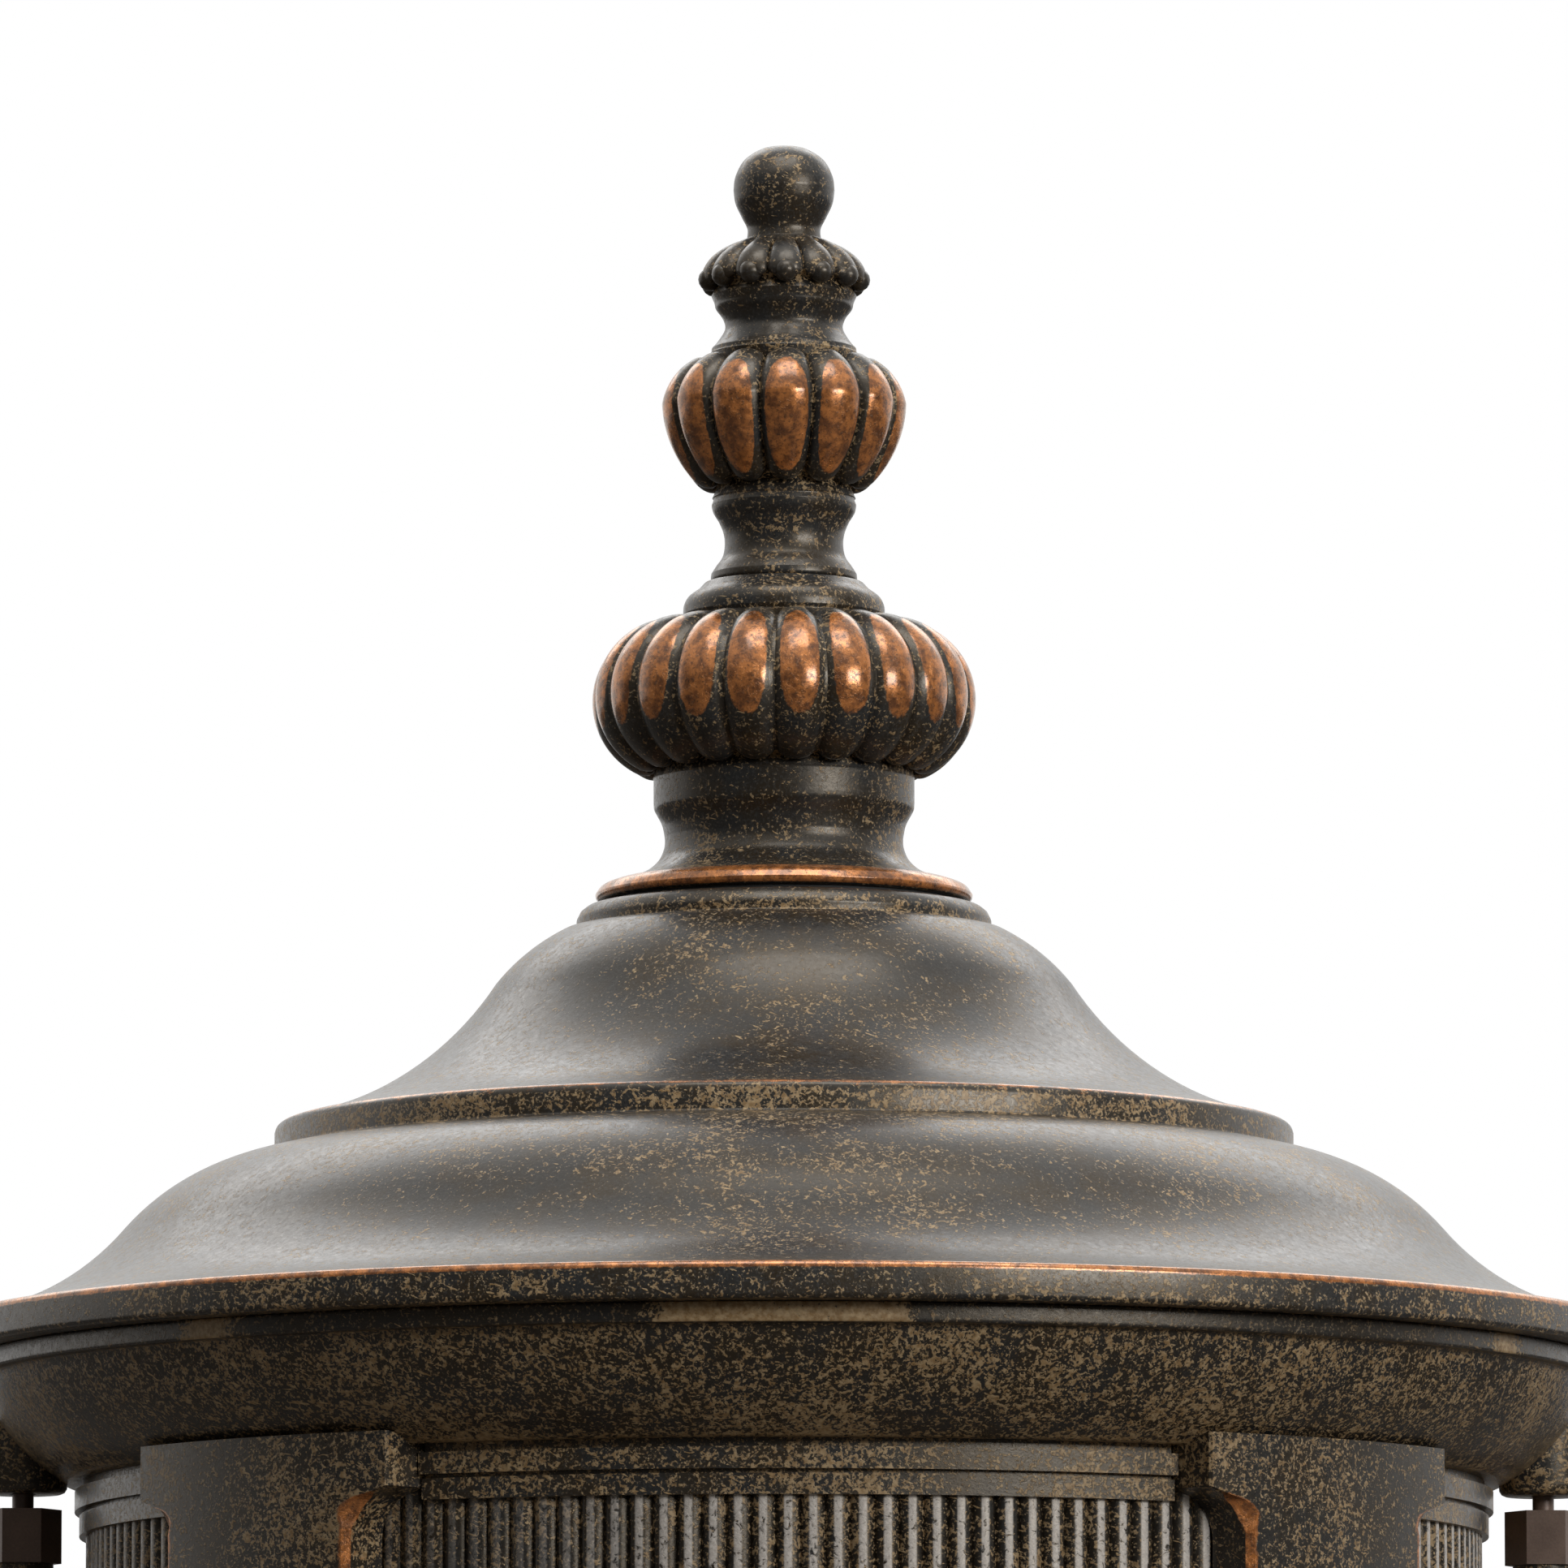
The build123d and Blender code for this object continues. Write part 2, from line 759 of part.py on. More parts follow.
with BuildPart() as lower_frieze:
    reeded_drum(base_rim_height, lower_frieze_height)
    window_band(base_rim_height, neck_moulding_height, neck_moulding_radius)
    window_band(
        base_rim_height + lower_frieze_height - thin_moulding_height,
        thin_moulding_height,
        thin_moulding_radius,
    )
    pilaster_screw_holes(lower_screw_height)
    upright_holes(
        base_rim_height + vertical_screw_engagement,
        vertical_screw_engagement,
        vertical_screw_circle,
        4,
        0,
    )
write(lower_frieze, "lower_frieze")


# Pilasters: curved plates with shouldered ends
def pilaster(angle):
    shoulder = pilaster_head_half_width - pilaster_shaft_half_width
    shaft_foot = pilaster_head_height + shoulder
    with BuildPart() as piece:
        with BuildSketch(radial_plane(angle, base_rim_height)):
            with BuildLine():
                head = Polyline(
                    (0, 0),
                    (pilaster_head_half_width, 0),
                    (pilaster_head_half_width, pilaster_head_height),
                )
                cove = RadiusArc(head @ 1, (pilaster_shaft_half_width, shaft_foot), -shoulder)
                shaft = Line(cove @ 1, (pilaster_shaft_half_width, cage_height - shaft_foot))
                upper_cove = RadiusArc(
                    shaft @ 1,
                    (pilaster_head_half_width, cage_height - pilaster_head_height),
                    -shoulder,
                )
                Polyline(upper_cove @ 1, (pilaster_head_half_width, cage_height), (0, cage_height), (0, 0))
            make_face()
            mirror(about=Plane.YZ)
        extrude(amount=2 * pilaster_face_radius)
        with BuildSketch(lantern_level(base_rim_height)):
            Circle(pilaster_face_radius)
            Circle(pilaster_back_radius, mode=Mode.SUBTRACT)
        extrude(amount=cage_height, mode=Mode.INTERSECT)
        pilaster_screw_holes(upper_screw_height)
        pilaster_screw_holes(lower_screw_height)
    return piece


for index in range(pilaster_count):
    write(pilaster(45 + 360 / pilaster_count * index), f"pilaster_{index + 1}")

with BuildPart() as pilaster_screws:
    for height in (upper_screw_height, lower_screw_height):
        for index in range(pilaster_count):
            side = radial_plane(45 + 360 / pilaster_count * index, height)
            head_face = frieze_bore_radius - running_clearance
            with BuildSketch(side.offset(head_face - screw_head_height)):
                Circle(screw_head_radius)
            extrude(amount=screw_head_height)
            with BuildSketch(side.offset(head_face)):
                Circle(screw_radius)
            extrude(amount=pilaster_back_radius - head_face + pilaster_screw_engagement)
write(pilaster_screws, "pilaster_screws")

# Glass cylinder between two gaskets
with BuildPart() as glass_cylinder:
    with BuildSketch(lantern_level(glass_foot_height)):
        Circle(glass_radius)
        Circle(glass_radius - glass_wall, mode=Mode.SUBTRACT)
    extrude(amount=glass_top_height - glass_foot_height)
write(glass_cylinder, "glass_cylinder")

with BuildPart() as lower_glass_gasket:
    with BuildSketch(lantern_level(ledge_height)):
        Circle(glass_radius + glass_gasket_margin)
        Circle(glass_radius - glass_wall - glass_gasket_margin, mode=Mode.SUBTRACT)
    extrude(amount=glass_gasket_height)
write(lower_glass_gasket, "lower_glass_gasket")

with BuildPart() as upper_glass_gasket:
    with BuildSketch(lantern_level(frieze_foot_height + upper_gasket_height / 2)):
        Circle(frieze_bore_radius - running_clearance)
        Circle(glass_radius + running_clearance, mode=Mode.SUBTRACT)
    extrude(amount=upper_gasket_height)
write(upper_glass_gasket, "upper_glass_gasket")

# Base bowl: gadrooned below, with a coved neck and a ring that carries the cage
with BuildLine(lantern_section(seat_height)) as gadroon_path:
    RadiusArc(
        (base_gadroon_start_radius, base_gadroon_foot),
        (base_gadroon_radius, base_band_foot),
        -base_gadroon_curve,
    )

gadroon_groove = groove_along(gadroon_path, base_groove_radius)
plate_screw_circle = frieze_bore_radius - base_ledge_width + base_plate_screw_inset

with BuildPart() as base_bowl:
    with BuildSketch(lantern_section(seat_height)) as base_outline:
        with BuildLine():
            foot = Polyline(
                (0, 0),
                (base_foot_radius, 0),
                (base_foot_radius, base_foot_height),
                (base_gadroon_start_radius, base_gadroon_foot),
            )
            bowl = RadiusArc(foot @ 1, (base_gadroon_radius, base_band_foot), -base_gadroon_curve)
            band = Polyline(
                bowl @ 1,
                (base_band_radius, base_band_foot),
                (base_band_radius, base_cove_foot),
            )
            cove = RadiusArc(band @ 1, (base_cove_radius, base_ring_foot), base_cove_curve)
            ring_top = base_ring_foot + base_ring_height
            Polyline(
                cove @ 1,
                (base_ring_radius, base_ring_foot + base_ring_edge),
                (base_ring_radius, ring_top - base_ring_edge),
                (base_ring_radius - base_ring_edge, ring_top),
                (0, ring_top),
                (0, 0),
            )
        make_face()
        with Locations((-base_wall, base_wall)):
            add(base_outline.sketch_local, mode=Mode.SUBTRACT)
        with Locations((frieze_bore_radius, ring_top)):
            Rectangle(
                base_ring_radius - base_wall - frieze_bore_radius,
                base_ledge_depth + base_ledge_thickness,
                align=(Align.MIN, Align.MAX),
            )
        with Locations((frieze_bore_radius - base_ledge_width, ring_top - base_ledge_depth)):
            Rectangle(
                base_ring_radius - base_wall - frieze_bore_radius + base_ledge_width,
                base_ledge_thickness,
                align=(Align.MIN, Align.MAX),
            )
    revolve(axis=lantern_axis)
    with BuildSketch(lantern_level(seat_height)):
        Circle(nipple_radius + running_clearance)
    extrude(amount=base_foot_height + base_wall, mode=Mode.SUBTRACT)
    cut_grooves(gadroon_groove, base_lobes)
    upright_holes(
        base_rim_height,
        base_ledge_depth + base_ledge_thickness,
        vertical_screw_circle,
        4,
        0,
    )
    upright_holes(ledge_height, base_ledge_thickness, plate_screw_circle, base_plate_screw_count, 90)
write(base_bowl, "base_bowl")

# Screws up through the base ring into the lower frieze
base_screw_foot = ledge_height - base_ledge_thickness
with BuildPart() as base_screws:
    with Locations(lantern_level(base_screw_foot)):
        with PolarLocations(vertical_screw_circle, 4):
            Cylinder(
                small_screw_radius,
                base_rim_height - base_screw_foot + vertical_screw_engagement,
                align=(Align.CENTER, Align.CENTER, Align.MIN),
            )
            Cylinder(
                small_head_radius,
                small_head_height,
                align=(Align.CENTER, Align.CENTER, Align.MAX),
            )
write(base_screws, "base_screws")

# Base plate under the lampholder and its screws
plate_radius = glass_radius - glass_wall - glass_gasket_margin - loose_clearance
with BuildPart() as base_plate:
    with BuildSketch(lantern_level(ledge_height)):
        Circle(plate_radius)
        Circle(nipple_radius + running_clearance, mode=Mode.SUBTRACT)
    extrude(amount=base_plate_thickness)
    upright_holes(base_plate_top, base_plate_thickness, plate_screw_circle, base_plate_screw_count, 90)
write(base_plate, "base_plate")

with BuildPart() as base_plate_screws:
    upright_screw(
        base_plate_top,
        base_plate_thickness + base_ledge_thickness,
        plate_screw_circle,
        base_plate_screw_count,
        90,
    )
write(base_plate_screws, "base_plate_screws")

# Nipple that ties hub, bowl, plate and lampholder together, and its nuts
nipple_foot_height = seat_height - nipple_engagement
nipple_top_height = holder_foot_height + holder_floor / 2
with BuildPart() as nipple:
    with BuildSketch(lantern_level(nipple_foot_height)):
        Circle(nipple_radius)
        Circle(nipple_bore_radius, mode=Mode.SUBTRACT)
    extrude(amount=nipple_top_height - nipple_foot_height)
write(nipple, "nipple")

with BuildPart() as nipple_nuts:
    for nut_foot in (seat_height + base_wall, base_plate_top):
        hex_nut(lantern_level(nut_foot), nipple_nut_across_flats, nipple_nut_height, nipple_radius)
write(nipple_nuts, "nipple_nuts")

# Lampholder: ceramic body, brass screw shell and centre contact
with BuildPart() as lampholder:
    with BuildSketch(lantern_level(holder_foot_height)):
        Circle(holder_radius)
    extrude(amount=holder_height)
    fillet(lampholder.edges().filter_by(GeomType.CIRCLE), radius=holder_lip)
    with BuildSketch(lantern_level(holder_floor_height)):
        Circle(holder_bore_radius)
    extrude(amount=holder_height - holder_floor, mode=Mode.SUBTRACT)
    with BuildSketch(lantern_level(holder_foot_height)):
        Circle(nipple_radius + running_clearance)
    extrude(amount=holder_floor / 2, mode=Mode.SUBTRACT)
    with BuildSketch(lantern_level(holder_foot_height)):
        Circle(nipple_bore_radius)
    extrude(amount=holder_floor - contact_height, mode=Mode.SUBTRACT)
write(lampholder, "lampholder")

with BuildPart() as screw_shell:
    with BuildSketch(lantern_level(holder_floor_height + screw_shell_rise)):
        Circle(holder_bore_radius - running_clearance)
        Circle(holder_bore_radius - running_clearance - screw_shell_wall, mode=Mode.SUBTRACT)
    extrude(amount=holder_height - holder_floor - screw_shell_rise - holder_lip)
write(screw_shell, "screw_shell")

with BuildPart() as centre_contact:
    with BuildSketch(lantern_level(holder_floor_height)):
        Circle(contact_radius)
    extrude(amount=contact_height)
write(centre_contact, "centre_contact")

# Lamp: screw cap with its contact, glass envelope and filament stem
with BuildPart() as lamp_cap:
    with BuildSketch(lantern_level(cap_foot_height)):
        Circle(contact_radius)
    extrude(amount=cap_tip_height)
    with BuildSketch(lantern_level(cap_foot_height + cap_tip_height)):
        Circle(contact_radius * 2)
    with BuildSketch(lantern_level(cap_foot_height + 2 * cap_tip_height)):
        Circle(cap_radius)
    loft()
    with BuildSketch(lantern_level(cap_foot_height + 2 * cap_tip_height)):
        Circle(cap_radius)
    extrude(amount=cap_height - 2 * cap_tip_height)
write(lamp_cap, "lamp_cap")


def bulb_outline(wall):
    dome_radius = bulb_radius - wall
    flare_radius = bulb_flare_radius - wall
    flare_top = bulb_middle_height - sqrt(dome_radius**2 - flare_radius**2)
    with BuildLine() as outline:
        neck = Polyline((0, 0), (bulb_neck_radius - wall, 0), (bulb_neck_radius - wall, bulb_neck_height))
        flare = RadiusArc(neck @ 1, (flare_radius, flare_top), bulb_flare_curve)
        dome = ThreePointArc(
            flare @ 1,
            (dome_radius, bulb_middle_height),
            (0, bulb_middle_height + dome_radius),
        )
        Line(dome @ 1, (0, 0))
    make_face(outline.edges())


with BuildPart() as bulb_glass:
    with BuildSketch(lantern_section(bulb_foot_height)):
        bulb_outline(0)
    revolve(axis=lantern_axis)
    with BuildSketch(lantern_section(bulb_foot_height)):
        bulb_outline(bulb_wall)
    revolve(axis=lantern_axis, mode=Mode.SUBTRACT)
write(bulb_glass, "bulb_glass")

with BuildPart() as filament_stem:
    with BuildSketch(lantern_section(bulb_foot_height)):
        with BuildLine():
            Polyline(
                (0, 0),
                (stem_top_radius, 0),
                (stem_radius, stem_height / 3),
                (stem_radius, stem_height * 0.9),
                (stem_top_radius, stem_height),
                (0, stem_height),
                (0, 0),
            )
        make_face()
    revolve(axis=lantern_axis)
write(filament_stem, "filament_stem")

# Studs under the lugs and the hexagonal couplings that they screw into
with BuildPart() as lug_studs:
    for side in (-1, 1):
        with BuildSketch(Plane(origin=(side * lug_offset, -lantern_reach, lug_foot_height))):
            Circle(stud_radius)
        extrude(amount=stud_engagement)
        with BuildSketch(Plane(origin=(side * lug_offset, -lantern_reach, hex_top_height))):
            Circle(stud_neck_radius)
        extrude(amount=stud_gap)
        with BuildSketch(Plane(origin=(side * lug_offset, -lantern_reach, hex_top_height))):
            Circle(stud_radius)
        extrude(amount=-stud_engagement)
write(lug_studs, "lug_studs")

hex_plane = lantern_level(side_arm_top_height)
for side, name in ((-1, "hex_coupling_left"), (1, "hex_coupling_right")):
    with BuildPart() as hex_coupling:
        with BuildSketch(hex_plane):
            with Locations((side * lug_offset, 0)):
                RegularPolygon(hex_across_flats / 2, 6, major_radius=False)
        extrude(amount=hex_height)
        with Locations((side * lug_offset, -lantern_reach, hex_top_height)):
            Cylinder(
                stud_radius + running_clearance,
                stud_engagement,
                align=(Align.CENTER, Align.CENTER, Align.MAX),
                mode=Mode.SUBTRACT,
            )
        with Locations((side * lug_offset, -lantern_reach, side_arm_top_height)):
            Cylinder(
                tenon_radius + running_clearance,
                tenon_height,
                align=(Align.CENTER, Align.CENTER, Align.MIN),
                mode=Mode.SUBTRACT,
            )
    write(hex_coupling, name)


# Side arms: round bars that rise from the hub, bow out and turn in to the couplings
def side_arm(side):
    knop_height = (side_arm_bow_low + side_arm_bow_high) / 2
    with BuildPart() as piece:
        with BuildLine(side_plane) as route:
            FilletPolyline(
                (side * (hub_radius - arm_socket_depth), hub_middle),
                (side * side_arm_turn, hub_middle),
                (side * side_arm_bow, side_arm_bow_low),
                (side * side_arm_bow, side_arm_bow_high),
                (side * lug_offset, side_arm_shoulder_height),
                (side * lug_offset, side_arm_top_height),
                radius=[
                    side_arm_lower_bend,
                    side_arm_lower_bend,
                    side_arm_upper_bend,
                    side_arm_upper_bend,
                ],
            )
        with BuildSketch(Plane(route.line @ 0, z_dir=route.line % 0)):
            Circle(side_arm_radius)
        sweep(path=route.line)
        with Locations((side * lug_offset, -lantern_reach, side_arm_top_height)):
            Cylinder(tenon_radius, tenon_height, align=(Align.CENTER, Align.CENTER, Align.MIN))
        with Locations((side * side_arm_bow, -lantern_reach, knop_height)):
            Sphere(knop_radius)
            with Locations((0, 0, -knop_ring_spacing), (0, 0, knop_ring_spacing)):
                Sphere(knop_ring_radius)
    return piece


write(side_arm(-1), "side_arm_left")
write(side_arm(1), "side_arm_right")

# Arm hub: turned boss that takes the wall arm, the side arms and the nipple
socket_floor = hub_radius - arm_socket_depth
wall_arm_socket = Plane(origin=(0, socket_floor - lantern_reach, hub_middle), z_dir=(0, 1, 0))
with BuildPart() as arm_hub:
    with BuildSketch(lantern_level(hub_foot_height)):
        Circle(hub_radius)
    extrude(amount=hub_height)
    with BuildSketch(lantern_section(hub_foot_height)):
        with Locations((hub_radius, hub_bead_radius), (hub_radius, hub_height - hub_bead_radius)):
            Circle(hub_bead_radius)
    revolve(axis=lantern_axis)
    with BuildSketch(lantern_level(hub_middle - hub_cavity_height / 2)):
        Circle(hub_cavity_radius)
    extrude(amount=hub_cavity_height, mode=Mode.SUBTRACT)
    with BuildSketch(lantern_level(hub_middle)):
        Circle(nipple_radius + running_clearance)
    extrude(amount=hub_height / 2, mode=Mode.SUBTRACT)
    with BuildSketch(lantern_level(hub_middle)):
        Circle(drop_stud_radius + running_clearance)
    extrude(amount=-hub_height / 2, mode=Mode.SUBTRACT)
    for side in (-1, 1):
        side_socket = Plane(
            origin=(side * socket_floor, -lantern_reach, hub_middle),
            z_dir=(side, 0, 0),
        )
        with BuildSketch(side_socket):
            Circle(side_arm_radius + running_clearance)
        extrude(amount=2 * arm_socket_depth, mode=Mode.SUBTRACT)
    with BuildSketch(Plane(origin=(0, -lantern_reach, hub_middle), z_dir=(0, 1, 0))):
        Circle(arm_bore_radius)
    extrude(amount=hub_radius, mode=Mode.SUBTRACT)
    with BuildSketch(wall_arm_socket):
        Circle(arm_radius + running_clearance)
    extrude(amount=2 * arm_socket_depth, mode=Mode.SUBTRACT)
write(arm_hub, "arm_hub")

# Drop finial that screws into the hub from below
with BuildPart() as drop_finial:
    drop_stud_length = (hub_height - hub_cavity_height) / 2
    drop_neck_foot = drop_collar_height + drop_neck_height
    drop_ball_foot = drop_neck_foot + 2 * drop_ball_radius - 2
    with BuildSketch(lantern_section(hub_foot_height)):
        with BuildLine():
            collar = Polyline(
                (0, drop_stud_length),
                (drop_stud_radius, drop_stud_length),
                (drop_stud_radius, 0),
                (drop_collar_radius, 0),
                (drop_collar_radius, -drop_collar_height / 2),
            )
            neck = Spline(
                collar @ 1,
                (drop_neck_radius, -drop_collar_height - drop_neck_height / 3),
                (drop_neck_radius, -drop_neck_foot),
            )
            ball = ThreePointArc(
                neck @ 1,
                (drop_ball_radius, -drop_neck_foot - drop_ball_radius + 1),
                (drop_tip_radius, -drop_ball_foot),
            )
            tip = Spline(
                ball @ 1,
                (drop_tip_radius + 0.6, -drop_ball_foot - drop_tip_height / 2),
                (0, -drop_ball_foot - drop_tip_height),
                tangents=[(0, -1), (-1, 0)],
            )
            Line(tip @ 1, (0, drop_stud_length))
        make_face()
    revolve(axis=lantern_axis)
write(drop_finial, "drop_finial")

# Wall arm: bent tube with a turned boss against the wall plate
with BuildPart() as wall_arm:
    with BuildLine(arm_plane) as arm_route:
        FilletPolyline(
            (plate_front - arm_tail, arm_root_height),
            (arm_bend_start, arm_root_height),
            (arm_bend_end, hub_middle),
            (lantern_reach - hub_radius + arm_socket_depth, hub_middle),
            radius=[arm_bend_radius, arm_bend_radius],
        )
    with BuildSketch(Plane(arm_route.line @ 0, z_dir=arm_route.line % 0)):
        Circle(arm_radius)
        Circle(arm_bore_radius, mode=Mode.SUBTRACT)
    sweep(path=arm_route.line)
    with BuildSketch(arm_plane):
        with BuildLine():
            edge = Polyline(
                (plate_front, arm_root_height + arm_radius - 1),
                (plate_front, arm_root_height + arm_boss_radius),
                (plate_front + arm_boss_edge, arm_root_height + arm_boss_radius),
            )
            cove = RadiusArc(
                edge @ 1,
                (plate_front + arm_boss_height, arm_root_height + arm_radius),
                arm_boss_radius - arm_radius,
            )
            Polyline(
                cove @ 1,
                (plate_front + arm_boss_height, arm_root_height + arm_radius - 1),
                (plate_front, arm_root_height + arm_radius - 1),
            )
        make_face()
    revolve(axis=Axis((0, 0, arm_root_height), (0, 1, 0)))
write(wall_arm, "wall_arm")

with BuildPart() as arm_nut:
    nut_plane = Plane(origin=(0, -plate_cavity_depth, arm_root_height), x_dir=(1, 0, 0), z_dir=(0, 1, 0))
    hex_nut(nut_plane, arm_nut_across_flats, arm_nut_height, arm_radius)
write(arm_nut, "arm_nut")

# Scroll under the wall arm
curl_middle_height = hub_middle - arm_radius - scroll_thickness / 2 - scroll_curl_radius
scroll_bottom_height = curl_middle_height - scroll_rise_radius
with BuildPart() as arm_scroll:
    with BuildLine(arm_plane) as scroll_route:
        scroll_start = plate_front + scroll_thickness / 2
        drop = Line(
            (scroll_start, scroll_top_height),
            (scroll_start, scroll_bottom_height + scroll_sweep_radius),
        )
        sweep_out = JernArc(drop @ 1, (0, -1), scroll_sweep_radius, 90)
        flat_end = (scroll_start + scroll_sweep_radius + scroll_flat_length, scroll_bottom_height)
        flat = Line(sweep_out @ 1, flat_end)
        climb = JernArc(flat @ 1, (1, 0), scroll_rise_radius, 90)
        curl = JernArc(climb @ 1, (0, 1), scroll_curl_radius, 180)
        JernArc(curl @ 1, (0, -1), scroll_inner_curl_radius, 180)
    with BuildSketch(Plane(scroll_route.line @ 0, x_dir=(1, 0, 0), z_dir=scroll_route.line % 0)):
        Rectangle(scroll_width, scroll_thickness)
    sweep(path=scroll_route.line)
write(arm_scroll, "arm_scroll")


# Wall plate: cast cover with rounded ends and a raised field, hollow behind
def plate_sketch(inset):
    Rectangle(plate_width - 2 * inset, plate_body_height - 2 * inset)
    with Locations((0, plate_end_offset), (0, -plate_end_offset)):
        Circle(plate_end_radius - inset)


with BuildPart() as wall_plate:
    with BuildSketch(wall_level(0)) as plate_outline:
        plate_sketch(0)
        fillet(plate_outline.vertices(), radius=plate_corner_radius)
    extrude(amount=plate_depth)
    with BuildSketch(wall_level(plate_depth)):
        plate_sketch(plate_field_inset)
    extrude(amount=plate_field_depth)
    fillet(wall_plate.faces().sort_by(Axis.Y)[0].edges(), radius=plate_edge_radius)
    with BuildSketch(wall_level(0)):
        plate_sketch(plate_wall)
    extrude(amount=plate_depth - plate_wall, mode=Mode.SUBTRACT)
    with BuildSketch(wall_level(0)):
        plate_sketch(plate_field_inset + plate_wall)
    extrude(amount=plate_cavity_depth, mode=Mode.SUBTRACT)
    with BuildSketch(wall_level(0)):
        with Locations((-stud_spacing / 2, 0), (stud_spacing / 2, 0)):
            Circle(mounting_stud_hole_radius)
        with Locations((0, arm_root_height)):
            Circle(arm_radius + running_clearance)
    extrude(amount=plate_front, mode=Mode.SUBTRACT)
write(wall_plate, "wall_plate")

# Foam gasket inside the plate's rim, flush with its rear face
with BuildPart() as wall_gasket:
    with BuildSketch(wall_level(0)):
        plate_sketch(plate_wall + running_clearance)
    extrude(amount=gasket_depth)
    with BuildSketch(wall_level(0)):
        plate_sketch(plate_wall + running_clearance + gasket_width)
    extrude(amount=gasket_depth, mode=Mode.SUBTRACT)
write(wall_gasket, "wall_gasket")

# Mounting bar with two slots for the outlet box, and its studs, nuts and ground screw
with BuildPart() as mounting_bar:
    with BuildSketch(wall_level(0)):
        RectangleRounded(bar_length, bar_height, bar_height / 5)
        with Locations((-box_slot_spacing / 2, 0), (box_slot_spacing / 2, 0)):
            SlotOverall(box_slot_length, 2 * box_slot_radius, mode=Mode.SUBTRACT)
        with Locations((-stud_spacing / 2, 0), (stud_spacing / 2, 0)):
            Circle(mounting_stud_radius + running_clearance, mode=Mode.SUBTRACT)
        with Locations((ground_screw_offset, 0)):
            Circle(ground_screw_radius + running_clearance, mode=Mode.SUBTRACT)
    extrude(amount=bar_thickness)
write(mounting_bar, "mounting_bar")

with BuildPart() as mounting_studs:
    with BuildSketch(wall_level(0)):
        with Locations((-stud_spacing / 2, 0), (stud_spacing / 2, 0)):
            Circle(mounting_stud_radius)
    extrude(amount=plate_front + cap_nut_engagement)
write(mounting_studs, "mounting_studs")

with BuildPart() as mounting_nuts:
    with BuildSketch(wall_level(bar_thickness)):
        with Locations((-stud_spacing / 2, 0), (stud_spacing / 2, 0)):
            RegularPolygon(mounting_nut_across_flats / 2, 6, major_radius=False)
            Circle(mounting_stud_radius + running_clearance, mode=Mode.SUBTRACT)
    extrude(amount=mounting_nut_height)
write(mounting_nuts, "mounting_nuts")

# Domed cap nuts on the wall plate
dome_middle = cap_nut_height - cap_nut_dome_radius
dome_foot_radius = sqrt(cap_nut_dome_radius**2 - (dome_middle - cap_nut_flange_height) ** 2)
for side, name in ((-1, "cap_nut_left"), (1, "cap_nut_right")):
    nut_axis = Axis((side * stud_spacing / 2, 0, 0), (0, 1, 0))
    with BuildPart() as cap_nut:
        nut_section = Plane(
            origin=(side * stud_spacing / 2, -plate_front, 0),
            x_dir=(0, 0, 1),
            z_dir=(1, 0, 0),
        )
        with BuildSketch(nut_section):
            with BuildLine():
                flange = Polyline(
                    (0, 0),
                    (cap_nut_radius, 0),
                    (cap_nut_radius, cap_nut_flange_height / 2),
                    (dome_foot_radius, cap_nut_flange_height),
                )
                dome = ThreePointArc(
                    flange @ 1,
                    (cap_nut_dome_radius, dome_middle),
                    (0, cap_nut_height),
                )
                Line(dome @ 1, (0, 0))
            make_face()
        revolve(axis=nut_axis)
        with BuildSketch(wall_level(plate_front)):
            with Locations((side * stud_spacing / 2, 0)):
                Circle(mounting_stud_radius + running_clearance)
        extrude(amount=cap_nut_engagement + loose_clearance, mode=Mode.SUBTRACT)
    write(cap_nut, name)

with BuildPart() as ground_screw:
    with BuildSketch(wall_level(0)):
        with Locations((ground_screw_offset, 0)):
            Circle(ground_screw_radius)
    extrude(amount=bar_thickness)
    with BuildSketch(wall_level(bar_thickness)):
        with Locations((ground_screw_offset, 0)):
            Circle(ground_screw_head_radius)
    extrude(amount=ground_screw_head_height)
write(ground_screw, "ground_screw")

# Leads in a sleeve from the lampholder through nipple, hub and arm to the plate
with BuildPart() as socket_leads:
    with BuildLine(arm_plane) as lead_route:
        FilletPolyline(
            (lantern_reach, holder_floor_height - contact_height - loose_clearance),
            (lantern_reach, hub_middle),
            (arm_bend_end, hub_middle),
            (arm_bend_start, arm_root_height),
            (sleeve_end_depth, arm_root_height),
            radius=[sleeve_bend_radius, arm_bend_radius, arm_bend_radius],
        )
    with BuildSketch(Plane(lead_route.line @ 0, z_dir=lead_route.line % 0)):
        Circle(sleeve_radius)
    sweep(path=lead_route.line)
    for side in (-1, 1):
        with BuildLine(wall_level(tail_depth)) as tail_route:
            FilletPolyline(
                (0, arm_root_height),
                (side * tail_spread, arm_root_height),
                (side * tail_spread, arm_root_height - tail_drop),
                radius=tail_bend,
            )
        with BuildSketch(Plane(tail_route.line @ 0, z_dir=tail_route.line % 0)):
            Circle(tail_radius)
        sweep(path=tail_route.line)
    with BuildSketch(wall_level(sleeve_end_depth)):
        with Locations((0, arm_root_height)):
            Circle(sleeve_radius)
    extrude(amount=tail_depth - sleeve_end_depth - tail_radius)
write(socket_leads, "socket_leads")

with BuildPart() as wire_connectors:
    connector_top = arm_root_height - tail_drop
    for side in (-1, 1):
        with Locations((side * tail_spread, -tail_depth, connector_top)):
            Cone(
                connector_tip_radius,
                connector_radius,
                connector_length,
                align=(Align.CENTER, Align.CENTER, Align.MAX),
            )
write(wire_connectors, "wire_connectors")
